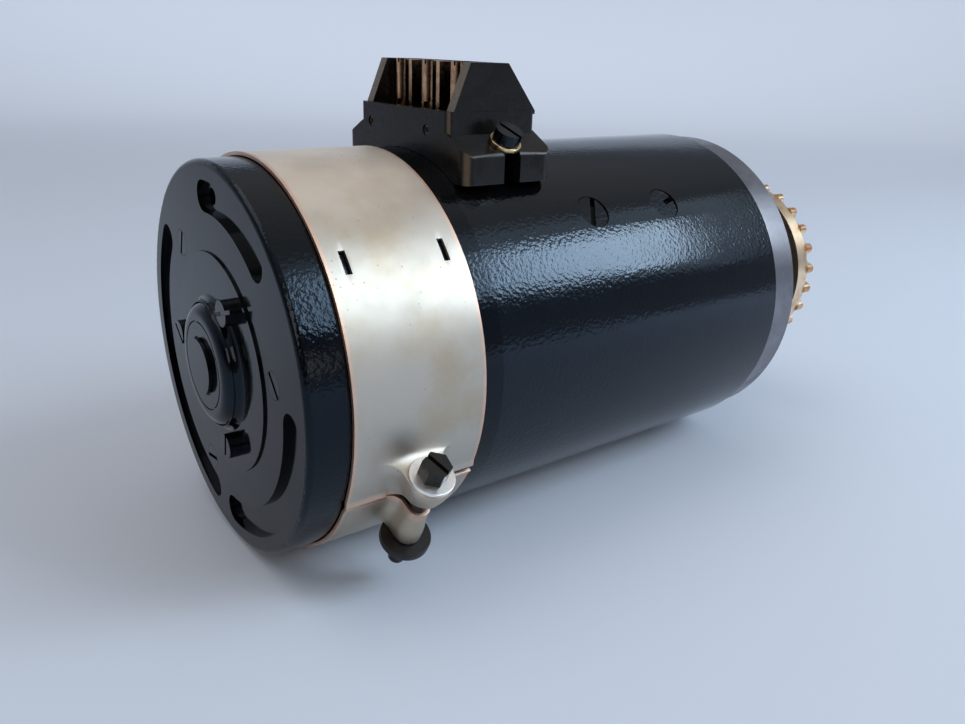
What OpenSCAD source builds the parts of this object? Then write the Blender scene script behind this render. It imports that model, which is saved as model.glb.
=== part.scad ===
// Two-pole car dynamo with a cover band over its brush windows and a toothed drive gear.
// Millimetres. The shaft runs along X, with the drive gear at +X, and the terminal block is up at +Z.
// Distances along the shaft are measured from the front face of the commutator end bracket.
// Angles about the shaft run from +Y towards +Z. The origin is on the shaft axis, at the middle of
// the bare stretch of yoke that a cradle grips.

/* [Yoke] */
// Outer diameter of the yoke tube
yoke_d = 114; // [110:1:120]
// Length of the yoke tube
yoke_length = 123; // [115:1:135]
// Wall of the yoke tube
yoke_wall = 6.5; // [5:0.5:7]

/* [Commutator end bracket] */
// Outer diameter of the bracket under and in front of the cover band
bracket_d = 112.6; // [110:0.2:112.8]
// Width of the painted rim in front of the cover band
rim_width = 11.6; // [9:0.2:14]
// Width of the collar between the cover band and the yoke
collar_width = 6.3; // [5:0.1:8]
// Thickness of the end wall
end_wall = 7; // [6:0.5:8]
// Thickness of the barrel wall
barrel_wall = 5; // [4:0.5:6]
// Arc that each brush window spans, in degrees
window_arc = 56; // [40:1:64]
// Length of each brush window along the shaft
window_length = 25; // [20:1:26]
// Distance from the rim to the brush windows
window_inset = 8; // [6.5:0.5:9]
// Depth of the curved recesses in the end face
recess_depth = 1.8; // [0.8:0.1:2.4]
// Middle radius of the curved recesses
recess_r = 46.7; // [44:0.1:48]
// Width of the curved recesses
recess_width = 8.6; // [6:0.2:9]

/* [Bearing cover] */
// Diameter of the bearing cover plate
cover_d = 63.2; // [58:0.2:68]
// Thickness of the cover plate
cover_plate = 3; // [2.5:0.1:3.5]
// How far the cover plate stands out of the end face
cover_proud = 0.6; // [0.2:0.1:1]
// Height of the domed boss above the cover plate
dome_height = 4.4; // [3:0.2:6]
// Radius of the flat top of the dome
dome_top_r = 14; // [12:0.5:15]
// Rounding of the dome's shoulder
dome_round = 4; // [2:0.5:5]
// Radius of the circle of cover screws
cover_screw_circle_r = 23.6; // [23:0.1:26]
// Diameter of a cover screw's head
cover_screw_head_d = 7.2; // [6:0.1:7.5]
// Height of a cover screw's head
cover_screw_head_h = 3; // [2.4:0.2:5]
// Diameter of the thread of the small screws
small_thread_d = 4; // [3:0.1:4.5]
// Radius of the circle of brush plate screws
plate_screw_circle_r = 38.2; // [37:0.1:40]
// Diameter of a brush plate screw's head
plate_screw_head_d = 7.4; // [6.5:0.1:8]

/* [Cover band] */
// Width of the cover band along the shaft
band_width = 39.7; // [37:0.1:44]
// Thickness of the band's sheet
band_sheet = 1; // [0.8:0.1:1.3]
// Radial clearance between the band and the bracket
band_clearance = 0.3; // [0.2:0.05:0.5]
// Gap between the band's ends
band_gap = 3.4; // [2:0.2:5]
// Angle of the gap about the shaft
band_gap_angle = 208; // [200:1:216]
// Outer radius of the pressed lugs over the clamp bolt, at the gap
lug_r = 3.9; // [3.7:0.1:4.6]
// Outer radius of the upper lug where the bolt's washer seats
lug_head_r = 6.3; // [5.8:0.1:6.8]
// Length of the upper lug from its end of the band
upper_lug_length = 12.9; // [11.5:0.1:14]
// Length of the lower lug from its end of the band
lower_lug_length = 9.8; // [9:0.1:11]
// Radius of the flare where a lug meets the band
lug_flare = 3.5; // [2.5:0.1:4.5]
// Height of the clamp bolt's axis above the band
bolt_height = 6.3; // [6.2:0.1:7.2]
// Distance of the clamp bolt from the band's front edge
bolt_inset = 18.6; // [16:0.1:22]
// Length of the two small slots in the band
band_slot_length = 6.4; // [4:0.2:8]
// Width of the two small slots in the band
band_slot_width = 1.9; // [1.4:0.1:2.4]
// Distance of each small slot from its edge of the band
band_slot_inset = 5.6; // [4.5:0.1:7]
// Angle of the small slots about the shaft
band_slot_angle = 140.6; // [130:0.2:150]

/* [Clamp bolt] */
// Diameter of the clamp bolt's thread
bolt_d = 4.8; // [4:0.1:5.2]
// Width across the flats of the bolt's head
bolt_flats = 7; // [6.6:0.1:8]
// Height of the bolt's head
bolt_head_h = 4.8; // [4.2:0.1:5.6]
// Diameter of the washer under the head
bolt_washer_d = 12.4; // [11:0.2:13]
// Thickness of the washer under the head
bolt_washer_h = 1; // [0.8:0.1:1.4]
// Diameter of the round nut
nut_d = 14.4; // [13:0.2:14.6]
// Thickness of the round nut's disc
nut_h = 3; // [2.6:0.1:4]
// Length of thread standing out of the nut
bolt_tail = 6.2; // [3:0.1:7]

/* [Drive end bracket] */
// Diameter of the bare steel ring behind the yoke
ring_d = 111.2; // [108:0.2:113]
// Length of the bare steel ring
ring_length = 12.6; // [11.6:0.2:15]
// Length of the spigots that centre both brackets in the yoke
spigot_length = 5; // [4:0.5:7]
// Radial clearance of the spigots in the yoke
spigot_clearance = 0.1; // [0.05:0.01:0.2]
// Thickness of the drive end wall
drive_wall = 7; // [6:0.5:9]
// Outer radius of the bearing housing
housing_r = 27; // [25.5:0.5:30]
// Length of the bearing housing behind the ring
nose_length = 13; // [11.5:0.5:15]

/* [Drive gear] */
// Number of teeth on the drive gear
gear_teeth = 26; // [22:1:30]
// Diameter over the tips of the teeth
gear_tip_d = 72.4; // [71.6:0.2:74]
// Depth of the teeth
tooth_depth = 3.2; // [2.6:0.1:3.4]
// Length of the teeth along the shaft
tooth_length = 3.8; // [3.2:0.2:6]
// Diameter of the plain shoulder in front of the teeth
gear_shoulder_d = 71; // [70:0.2:71.4]
// Length of the plain shoulder
gear_shoulder_length = 5.8; // [4:0.1:8]
// Distance from the steel ring's rear face to the gear
gear_distance = 34.2; // [30:0.2:40]
// Depth of the recess in the gear's front face
gear_dish = 2; // [1:0.5:3]
// Radius of the gear's seat on its hub
gear_seat_r = 24; // [22:0.5:25]
// Radius of the hub's flange behind the gear
hub_flange_r = 31; // [30:0.5:32]
// Thickness of the hub's flange
hub_flange_h = 3; // [2.5:0.5:3.5]
// Radius of the hub's boss
hub_boss_r = 14; // [13:0.5:17]
// Diameter of the rivets that hold the gear to its hub
gear_rivet_d = 4; // [3:0.2:4.6]

/* [Terminal block] */
// Distance from the bracket seam to the block
block_offset = 2.8; // [1.5:0.1:6]
// Length of the block along the shaft
block_length = 31.4; // [29:0.2:34]
// Width of the block's main box
block_width = 48.8; // [47:0.2:52]
// Width over the block's two feet
block_feet_width = 66.4; // [65:0.2:70]
// Tilt of the feet's top faces and of the block screws, in degrees
foot_tilt = 28; // [24:0.5:32]
// Distance of the feet's tilted top faces from the shaft's axis
foot_top_r = 66.8; // [66.2:0.1:67.4]
// How far the feet reach down beside the yoke, below its top
foot_reach = 7.1; // [6:0.1:8]
// Height of the box's rim above the yoke's top
block_rim = 11.9; // [11:0.1:14]
// Height of the cheeks' top above the yoke's top
block_top = 24.9; // [24:0.1:28]
// How far the cheeks draw in at the front
cheek_front_draw = 7.6; // [5:0.1:9]
// How far the cheeks draw in at the back
cheek_back_draw = 10.5; // [7:0.1:12]
// Wall thickness of the block
block_wall = 3.9; // [3:0.1:4.2]
// Thickness of the block's floor over the yoke
block_floor = 4.5; // [3.5:0.1:6]
// Width of the screw slot in each foot
foot_slot_width = 5.8; // [5:0.1:6.5]
// Distance of the block screws from the feet's outer edges
block_screw_inset = 4.2; // [3.9:0.1:4.3]
// Diameter of a block screw's thread
block_screw_d = 4.6; // [4:0.1:4.8]
// Diameter of a block screw's head
block_screw_head_d = 8; // [7.4:0.1:8.6]
// Height of a block screw's head
block_screw_head_h = 3.4; // [2.6:0.1:4]
// Diameter of the spring washer under a block screw
spring_washer_d = 9.4; // [8.8:0.1:10]
// Thickness of the spring washer
spring_washer_h = 1.3; // [1:0.1:1.6]
// Spacing of the terminals
terminal_pitch = 15.2; // [14.5:0.1:15.4]
// Overall width of a terminal
terminal_width = 9.4; // [8:0.1:9.6]
// Width of a terminal's wire slot
wire_slot = 2.1; // [1.6:0.1:2.8]
// Width of a terminal's thin leg
thin_leg = 1.7; // [1.4:0.1:2]
// Depth of a terminal's legs along the shaft
terminal_depth = 7; // [6:0.1:7.6]
// Thickness of a terminal's foot
terminal_foot = 3; // [2.4:0.1:3.6]
// Distance from the block's front face to the terminals
terminal_inset = 10.3; // [9.6:0.1:11]
// Depth of a terminal's threaded bore
terminal_bore_depth = 14; // [10:0.5:15]
// Height that the terminal screws reach above the cheeks
terminal_screw_proud = 0.1; // [0:0.1:1]
// Diameter of a terminal screw's thread
terminal_screw_d = 3.4; // [3:0.1:3.6]
// Spacing of the two rivets in the block's front wall
block_rivet_spacing = 31.2; // [30:0.2:31.4]
// Distance of the middle of the two rivets from the shaft's plane
block_rivet_shift = 2.4; // [2:0.1:2.8]
// Diameter of the two rivets in the block's front wall
block_rivet_d = 3; // [2.4:0.1:3.2]
// Radius of the passage for the wires through the block's floor and the yoke
wire_hole_r = 6; // [5:0.5:7]

/* [Field] */
// Angle of the first pole about the shaft
pole_angle = 134.4; // [130:0.2:140]
// Arc of a pole shoe's face, in degrees
pole_arc = 104; // [90:1:116]
// Length of a pole shoe along the shaft
pole_length = 74; // [68:1:80]
// Thickness of a pole shoe's lips
pole_lip = 4.5; // [3.5:0.5:5.5]
// Width of a pole's neck
pole_neck = 42; // [36:1:46]
// Air gap between the poles and the armature
air_gap = 0.8; // [0.5:0.1:1.2]
// Distance from the seam to the first pole screw
pole_screw_x = 46; // [43:0.5:50]
// Spacing of the two screws of a pole
pole_screw_spacing = 31.5; // [28:0.5:36]
// Diameter of a pole screw's head
pole_screw_head_d = 10.8; // [10:0.1:11.6]
// Height of a pole screw's head
pole_screw_head_h = 3.6; // [3:0.1:4]
// Diameter of a pole screw's thread
pole_screw_d = 6; // [5:0.1:7]
// Thickness of a field coil around the pole's neck
coil_side = 8; // [6:0.5:9]
// Arc that a field coil spans, in degrees
coil_arc = 92; // [88:1:96]

/* [Armature] */
// Diameter of the armature core
core_d = 67; // [64:0.5:68]
// Length of the armature core
core_length = 72; // [66:1:78]
// Number of slots in the core
core_slots = 14; // [12:1:18]
// Width of a core slot
core_slot_width = 4.6; // [3.6:0.1:5]
// Depth of a core slot
core_slot_depth = 9; // [7:0.5:10]
// Width of a core slot's mouth
core_slot_mouth = 2.4; // [1.6:0.1:3]
// Distance from the pole shoes' front end to the core
core_inset = 1; // [0:0.5:2]
// Length of the winding's overhang at each end
overhang = 16; // [12:0.5:18]
// Diameter of the commutator
commutator_d = 40; // [38:0.5:42]
// Length of the commutator's brush track
commutator_length = 24; // [22:0.5:26]
// Number of bars on the commutator
commutator_bars = 28; // [20:1:36]
// Depth and width of the undercut between two bars
undercut = 0.8; // [0.5:0.1:1]
// Distance from the end wall to the commutator
commutator_inset = 12; // [11.5:0.5:14]
// Diameter of the shaft through the core
shaft_d = 18; // [17.4:0.2:20]
// Diameter of the shaft through the commutator
commutator_seat_d = 15; // [14:0.2:16]
// Length of the threaded end behind the hub
thread_length = 14; // [12:0.5:18]

/* [Bearings] */
// Bore of the commutator end bearing
front_bore = 12; // [11:0.2:13]
// Outer diameter of the commutator end bearing
front_outer = 32; // [31:0.2:33]
// Width of the commutator end bearing
front_width = 10; // [9:0.5:11]
// Number of balls in the commutator end bearing
front_balls = 7; // [6:1:8]
// Bore of the drive end bearing
rear_bore = 17; // [16:0.2:17.4]
// Outer diameter of the drive end bearing
rear_outer = 40; // [39:0.2:41]
// Width of the drive end bearing
rear_width = 12; // [11:0.5:13]
// Distance from the drive end bearing to the rear end of its housing
rear_bearing_inset = 7; // [6:0.5:8]
// Wall of the ring that keeps the drive end bearing in its housing
retainer_wall = 4; // [3:0.5:4.5]
// Number of balls in the drive end bearing
rear_balls = 8; // [7:1:9]

/* [Brush gear] */
// Thickness of a brush around the commutator
brush_thick = 8; // [6:0.5:9]
// Length of a brush along the shaft
brush_wide = 18; // [15:0.5:19]
// Height of a brush away from the commutator
brush_high = 20; // [16:0.5:21]
// Clearance of a brush in its box
brush_clearance = 0.15; // [0.1:0.05:0.3]
// Wall of a brush box
brush_box_wall = 1.5; // [1:0.1:2]
// Distance of a brush box from the commutator
brush_box_gap = 3; // [2:0.5:4]
// Height of a brush box
brush_box_high = 15; // [12:0.5:16]
// Thickness of the brush plate
brush_plate = 3; // [2.5:0.1:4]
// Length of a brush spring's arm, from its post to its tip
spring_arm = 14.6; // [13.6:0.1:15]
// Swing of a brush spring's arm to either side of level, in degrees
spring_swing = 16; // [12:0.5:18]
// Radius of the rolled tip of a brush spring
spring_tip_r = 2; // [1.6:0.1:2.2]
// Diameter of a spring post
post_d = 4; // [3:0.2:4.6]
// Outer radius of a brush spring's coil
spring_coil_r = 4.5; // [4.1:0.1:4.8]
// Width of a brush spring's strip
spring_width = 5; // [4:0.5:6]
// Thickness of a brush spring's arm
spring_strip = 1.2; // [0.8:0.1:1.4]

/* [Through bolts] */
// Diameter of the two through bolts
through_bolt_d = 5; // [4:0.1:5.4]
// Radius of the circle of through bolts
through_bolt_circle_r = 46.6; // [46:0.1:47]
// Diameter of a through bolt's head
through_bolt_head_d = 8.6; // [8:0.1:9]
// Height of a through bolt's head
through_bolt_head_h = 3.6; // [3:0.1:4]

/* [Hidden] */
$fn = 96;

// Fits and small clearances
seat_gap = 0.1;
hole_clearance = 0.2;
running_clearance = 0.05;
brush_running_gap = 0.15;
soft_gap = 0.3;

// Stations along the shaft
band_x0 = rim_width;
band_x1 = rim_width + band_width;
seam_x = band_x1 + collar_width;
yoke_x1 = seam_x + yoke_length;
ring_x1 = yoke_x1 + ring_length;
nose_x1 = ring_x1 + nose_length;
gear_x0 = ring_x1 + gear_distance;
tooth_x0 = gear_x0 + gear_shoulder_length;
gear_x1 = tooth_x0 + tooth_length;
block_x0 = seam_x + block_offset;
block_x1 = block_x0 + block_length;
cradle_margin = 3;
cradle_length = yoke_x1 - block_x1 - cradle_margin;
origin_x = block_x1 + cradle_margin + cradle_length / 2;

// Radii
yoke_r = yoke_d / 2;
yoke_inner_r = yoke_r - yoke_wall;
bracket_r = bracket_d / 2;
barrel_inner_r = bracket_r - barrel_wall;
band_inner_r = bracket_r + band_clearance;
band_outer_r = band_inner_r + band_sheet;
spigot_r = yoke_inner_r - spigot_clearance;
ring_r = ring_d / 2;

// Commutator end
front_bearing_x0 = cover_plate - cover_proud + 2;
front_bearing_x1 = front_bearing_x0 + front_width;
front_housing_r = front_outer / 2 + 5;
front_lip = 2;
front_housing_x1 = front_bearing_x1 + front_lip;
commutator_x0 = end_wall + commutator_inset;
commutator_x1 = commutator_x0 + commutator_length;
riser_length = 3;
riser_r = commutator_d / 2 + 2;
window_x0 = band_x0 + window_inset;
cover_seat_depth = cover_plate - cover_proud;
cover_screw_length = end_wall + cover_proud - 0.5;
plate_x0 = end_wall + seat_gap;
plate_x1 = plate_x0 + brush_plate;
collar_relief = 0.2;
recess_end_step = 0.05;

// Recesses in the end face, each from one angle to another
face_recesses = [[82, 137], [178, 273], [281, 403]];
recess_hole_angle = 85;
recess_hole_d = 4.6;
cover_screw_angles = [7, 127, 247];
plate_screw_angles = [51, 171, 291];
plate_screw_turn = 60;
cover_screw_turn = 35;

// Poles, brushes and through bolts stand opposite each other
pair_turns = [0, 180];
bolt_turns = [90, 270];

// Field
pole_x0 = seam_x + pole_screw_x + pole_screw_spacing / 2 - pole_length / 2;
pole_x1 = pole_x0 + pole_length;
pole_inner_r = core_d / 2 + air_gap;
pole_outer_r = yoke_inner_r - seat_gap;
coil_inner_r = pole_inner_r + pole_lip + soft_gap;
coil_outer_r = yoke_inner_r - soft_gap;
pole_screw_stations = [seam_x + pole_screw_x, seam_x + pole_screw_x + pole_screw_spacing];
pole_screw_turns = [62, 18];
pole_screw_sunk = 0.4;
pole_screw_reach = 9;

// Armature
core_x0 = pole_x0 + core_inset;
core_x1 = core_x0 + core_length;
winding_r = core_d / 2 - 2.5;
core_bore_r = shaft_d / 2;
sleeve_r = 11;
winding_clearance = 1.5;
rear_overhang = min(overhang, yoke_x1 - spigot_length + 1 - winding_clearance - core_x1);

// Drive end
rear_bearing_x0 = nose_x1 - rear_bearing_inset - rear_width;
rear_bearing_x1 = rear_bearing_x0 + rear_width;
retainer_x0 = yoke_x1 - spigot_length + 1;
drive_wall_x1 = ring_x1;
shaft_hole_r = rear_bore / 2 + 2;
felt_x0 = rear_bearing_x1 + 2;
felt_width = 3;
felt_r = rear_bore / 2 + 6;
hub_x0 = nose_x1 + 0.8;
hub_x1 = gear_x1 + 1.4;
washer_h = 1.2;
nut_flats = 19;
end_nut_h = 8;
thread_r = rear_bore / 2 - 1.5;
shaft_x0 = front_bearing_x0;
shaft_x1 = hub_x1 + thread_length;
key_length = 12;
key_width = 3;
key_stand = 1.6;
gear_rivet_circle_r = (gear_seat_r + hub_flange_r) / 2;
gear_rivets_count = 6;
tooth_phase = 5.8;

// Terminal block
block_mid_x = (block_x0 + block_x1) / 2;
block_rim_z = yoke_r + block_rim;
block_top_z = yoke_r + block_top;
block_floor_z = yoke_r + block_floor;
foot_bottom_z = yoke_r - foot_reach;
block_screw_x = block_mid_x + 0.7;
block_screw_y = block_feet_width / 2 - block_screw_inset;
block_screw_length = spring_washer_h + foot_top_r - yoke_inner_r - 0.6;
block_screw_turn = 70;
terminal_x0 = block_x0 + terminal_inset;
terminal_y = [-terminal_pitch, 0, terminal_pitch];
wide_leg = terminal_width - wire_slot - thin_leg;
terminal_top_z = block_top_z - 0.2;
block_rivet_z = block_floor_z + terminal_foot / 2 + 0.3;
cavity_back_x = block_x1 - cheek_back_draw - 2.6;
cheek_setback = 2.2;
cheek_step = 0.4;
box_corner = 2;
foot_corner = 3.6;
front_wall = 3;
rivet_sunk = 0.4;

// Clamp bolt, placed in the plane of its own tangent
lug_foot = 3;
flare_lap = 0.05;
bolt_r = band_outer_r + bolt_height;
bolt_x = band_x0 + bolt_inset;
upper_lug_end = band_gap / 2 + upper_lug_length;
lower_lug_end = band_gap / 2 + lower_lug_length;
lug_wall = 1.3;
lug_taper = atan((lug_head_r - lug_r) / upper_lug_length);
full_turn = 360;
bolt_head_turn = 27;
bolt_slot_turn = 110;
bolt_head_corner_d = bolt_flats / cos(30);
nut_collar_d = 8.4;
nut_collar_h = 2.4;

// Puts a shape that is drawn around local Z onto the shaft, x along from the bracket's face
module on_shaft(x = 0) {
    translate([x - origin_x, 0, 0])
        rotate([90, 0, 90])
            children();
}

// A point given by its distance along the shaft and its Y and Z
module at(x, y = 0, z = 0) {
    translate([x - origin_x, y, z])
        children();
}

// Looks in from outside at an angle about the shaft: local Z points at the axis's outside
module radial(x, angle) {
    on_shaft(x)
        rotate([0, 0, angle])
            rotate([0, 90, 0])
                children();
}

module tube(outer_r, inner_r, length) {
    difference() {
        cylinder(r = outer_r, h = length);
        translate([0, 0, -1])
            cylinder(r = inner_r, h = length + 2);
    }
}

// Part of a tube from one angle on, over an arc
module sector(outer_r, inner_r, length, start, arc) {
    rotate([0, 0, start])
        rotate_extrude(angle = arc)
            translate([inner_r, 0])
                square([outer_r - inner_r, length]);
}

module slot_cut(width, length, depth) {
    translate([-length / 2, -width / 2, -depth])
        cube([length, width, depth + 1]);
}

// Cheese-head screw, its head above Z = 0 and its thread below
module slotted_screw(head_d, head_h, thread_d, thread_length, turn = 0) {
    slot_width = head_d * 0.16;
    difference() {
        union() {
            cylinder(d = head_d, h = head_h);
            translate([0, 0, -thread_length])
                cylinder(d = thread_d, h = thread_length + 0.1);
        }
        translate([0, 0, head_h])
            rotate([0, 0, turn])
                slot_cut(slot_width, head_d + 1, head_h * 0.42);
    }
}

module rounded_plate(length, width, height, corner) {
    translate([corner, 0, 0])
        cube([length - 2 * corner, width, height]);
    translate([0, corner, 0])
        cube([length, width - 2 * corner, height]);
    for (x = [corner, length - corner], y = [corner, width - corner])
        translate([x, y, 0])
            cylinder(r = corner, h = height);
}

// Race of a ball bearing, with the groove that the balls run in
module bearing_race(inner_r, outer_r, width, pitch_r, ball_r) {
    rotate_extrude()
        difference() {
            translate([inner_r, 0])
                square([outer_r - inner_r, width]);
            translate([pitch_r, width / 2])
                circle(r = ball_r + running_clearance);
        }
}

module bearing_ball_ring(count, width, pitch_r, ball_r) {
    for (i = [0 : count - 1])
        rotate([0, 0, i * 360 / count])
            translate([pitch_r, 0, width / 2])
                sphere(r = ball_r, $fn = 48);
}

function pitch_radius(bore, outer) = (bore + outer) / 4;
function ball_radius(bore, outer) = (outer - bore) * 0.149;
function shoulder(bore, outer) = ball_radius(bore, outer) * 0.72;

// Commutator end

// Curved recess with round ends in the end face
module face_recess(start, end) {
    half = recess_width / 2;
    end_turn = asin(half / recess_r);
    translate([0, 0, -1]) {
        sector(recess_r + half, recess_r - half, recess_depth + 1, start + end_turn,
               end - start - 2 * end_turn);
        for (angle = [start + end_turn, end - end_turn])
            rotate([0, 0, angle])
                translate([recess_r, 0, 0])
                    cylinder(r = half - recess_end_step, h = recess_depth + 1);
    }
}

module bracket_profile() {
    corner = 1.6;
    difference() {
        union() {
            translate([0, corner])
                square([bracket_r, band_x1 - corner]);
            square([bracket_r - corner, corner + 1]);
            translate([bracket_r - corner, corner])
                circle(r = corner);
            translate([0, band_x1 + collar_relief])
                square([yoke_r, collar_width - collar_relief]);
            translate([0, band_x1 - 1])
                square([bracket_r, 2]);
            translate([0, seam_x - 1])
                square([spigot_r, spigot_length + 1]);
        }
        translate([0, end_wall])
            square([barrel_inner_r, seam_x - end_wall - spigot_length]);
        translate([0, seam_x - spigot_length - 1])
            square([spigot_r - barrel_wall, 2 * spigot_length + 2]);
    }
}

module commutator_end_bracket() {
    color("#16171b")
        on_shaft()
            difference() {
                union() {
                    rotate_extrude()
                        bracket_profile();
                    cylinder(r = front_housing_r, h = front_housing_x1);
                    through_bolt_bosses();
                }
                translate([0, 0, -1])
                    cylinder(r = cover_d / 2 + seat_gap, h = cover_seat_depth + 1);
                translate([0, 0, -1])
                    cylinder(r = front_outer / 2, h = front_bearing_x1 + 1);
                translate([0, 0, -1])
                    cylinder(r = front_outer / 2 - 3, h = front_housing_x1 + 2);
                for (arc = face_recesses)
                    face_recess(arc[0], arc[1]);
                rotate([0, 0, recess_hole_angle + asin(recess_width / 2 / recess_r)])
                    translate([recess_r, 0, -1])
                        cylinder(d = recess_hole_d, h = 5);
                for (turn = pair_turns)
                    translate([0, 0, window_x0])
                        sector(bracket_r + 1, barrel_inner_r - 1, window_length,
                               pole_angle + turn - window_arc / 2, window_arc);
                for (angle = cover_screw_angles)
                    rotate([0, 0, angle])
                        translate([cover_screw_circle_r, 0, cover_seat_depth - 1])
                            cylinder(d = small_thread_d + hole_clearance, h = end_wall);
                for (angle = plate_screw_angles)
                    rotate([0, 0, angle])
                        translate([plate_screw_circle_r, 0, -1]) {
                            cylinder(d = small_thread_d + hole_clearance, h = end_wall + 2);
                            cylinder(d = plate_screw_head_d + hole_clearance, h = 1 + plate_head_h);
                        }
                through_bolt_holes(seam_x - 12, spigot_length + 13);
            }
}

// Solid bosses inside the bracket's rear ring that the through bolts screw into
module through_bolt_bosses() {
    for (turn = bolt_turns)
        rotate([0, 0, pole_angle + turn])
            intersection() {
                translate([through_bolt_circle_r, 0, seam_x - 13])
                    cylinder(d = through_bolt_d + 7, h = 13 + spigot_length);
                cylinder(r = spigot_r - 0.01, h = seam_x + spigot_length);
            }
}

module through_bolt_holes(x, length) {
    for (turn = bolt_turns)
        rotate([0, 0, pole_angle + turn])
            translate([through_bolt_circle_r, 0, x])
                cylinder(d = through_bolt_d + hole_clearance, h = length);
}

plate_head_h = 2.2;

module dome_profile() {
    base_r = dome_top_r + dome_round;
    fillet = 2.4;
    groove = 0.5;
    core_r = 8;
    difference() {
        union() {
            square([dome_top_r, dome_height]);
            square([base_r, dome_height - dome_round]);
            translate([dome_top_r, dome_height - dome_round])
                circle(r = dome_round);
            difference() {
                translate([base_r - 0.2, 0])
                    square([fillet + 0.2, fillet]);
                translate([base_r + fillet, fillet])
                    circle(r = fillet);
            }
            square([core_r, dome_height + 1.2]);
        }
        translate([0, -dome_round - 1])
            square([base_r + 1, dome_round + 1]);
        translate([core_r, dome_height - groove])
            square([groove, groove + 1]);
        translate([dome_top_r - 1.6, dome_height - groove])
            square([groove, groove + 1]);
    }
}

module bearing_cover() {
    color("#131419") {
        on_shaft()
            difference() {
                union() {
                    translate([0, 0, -cover_proud])
                        cylinder(r = cover_d / 2, h = cover_plate);
                    translate([0, 0, -cover_proud + 0.1])
                        mirror([0, 0, 1])
                            rotate_extrude()
                                dome_profile();
                }
                for (angle = cover_screw_angles)
                    rotate([0, 0, angle])
                        translate([cover_screw_circle_r, 0, -cover_proud - 1])
                            cylinder(d = small_thread_d + hole_clearance, h = cover_plate + 2);
                translate([0, 0, -cover_proud - dome_height + 3])
                    cylinder(r = front_bore / 2 + 3, h = cover_plate + dome_height);
            }
        on_shaft(cover_seat_depth - 0.1)
            tube(front_outer / 2 - seat_gap, front_outer / 2 - 2.4,
                 front_bearing_x0 - cover_seat_depth + 0.05);
    }
}

module bearing_cover_screws() {
    color("#0e0f13")
        on_shaft()
            for (angle = cover_screw_angles)
                rotate([0, 0, angle])
                    translate([cover_screw_circle_r, 0, -cover_proud])
                        mirror([0, 0, 1])
                            slotted_screw(cover_screw_head_d, cover_screw_head_h, small_thread_d,
                                          cover_screw_length, cover_screw_turn);
}

module brush_plate_screws() {
    color("#0e0f13")
        on_shaft()
            for (angle = plate_screw_angles)
                rotate([0, 0, angle])
                    translate([plate_screw_circle_r, 0, plate_head_h])
                        mirror([0, 0, 1])
                            slotted_screw(plate_screw_head_d, plate_head_h, small_thread_d,
                                          plate_x1 - plate_head_h, plate_screw_turn);
}

module front_bearing_outer_race() {
    color("#b9bcc0")
        on_shaft(front_bearing_x0)
            bearing_race(pitch_radius(front_bore, front_outer) + shoulder(front_bore, front_outer),
                         front_outer / 2, front_width, pitch_radius(front_bore, front_outer),
                         ball_radius(front_bore, front_outer));
}

module front_bearing_balls() {
    color("#d5d8db")
        on_shaft(front_bearing_x0)
            bearing_ball_ring(front_balls, front_width, pitch_radius(front_bore, front_outer),
                              ball_radius(front_bore, front_outer));
}

module front_bearing_inner_race() {
    color("#b9bcc0")
        on_shaft(front_bearing_x0)
            bearing_race(front_bore / 2,
                         pitch_radius(front_bore, front_outer) - shoulder(front_bore, front_outer),
                         front_width, pitch_radius(front_bore, front_outer),
                         ball_radius(front_bore, front_outer));
}

// Cover band and its clamp

// Form pressed over the bolt: a cone round the bolt and a wedge from it down into the band
module lug_body(gap_end_r, far_end_r, length) {
    translate([0, bolt_height, 0])
        cylinder(r1 = gap_end_r, r2 = far_end_r, h = length);
    translate([0, bolt_height, 0])
        rotate([90, 0, 0])
            linear_extrude(bolt_height + lug_foot)
                polygon([
                    [-gap_end_r, 0],
                    [gap_end_r, 0],
                    [far_end_r, length],
                    [-far_end_r, length]
                ]);
}

// Fillets that run a lug's sides out into the band, along sides that lean out by the taper
module lug_flares(gap_end_r, taper, length) {
    intersection() {
        for (side = [0, 1])
            mirror([side, 0, 0])
                translate([gap_end_r - flare_lap, 0, 0])
                    rotate([0, taper, 0])
                        difference() {
                            translate([-1, -lug_foot, -lug_flare])
                                cube([lug_flare + 1, lug_foot + lug_flare, 2 * length]);
                            translate([lug_flare, lug_flare, -lug_flare - 1])
                                cylinder(r = lug_flare, h = 2 * length + 2);
                        }
        translate([-nut_d, -lug_foot, 0])
            cube([2 * nut_d, 3 * lug_foot, length]);
    }
}

// Stands at the gap, local X back along the shaft, local Y outward and local Z up along the bolt
module at_clamp() {
    on_shaft(bolt_x)
        rotate([0, 0, band_gap_angle])
            translate([band_outer_r, 0, 0])
                rotate([90, 0, 0])
                    rotate([0, 0, -90])
                        children();
}

module pressed_lug(far_end_r, taper, length) {
    difference() {
        translate([0, 0, band_gap / 2]) {
            lug_body(lug_r, far_end_r, length);
            lug_flares(lug_r, taper, length);
        }
        translate([0, 0, band_gap / 2 - lug_wall])
            lug_body(lug_r - band_sheet, far_end_r - band_sheet, length);
    }
}

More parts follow.
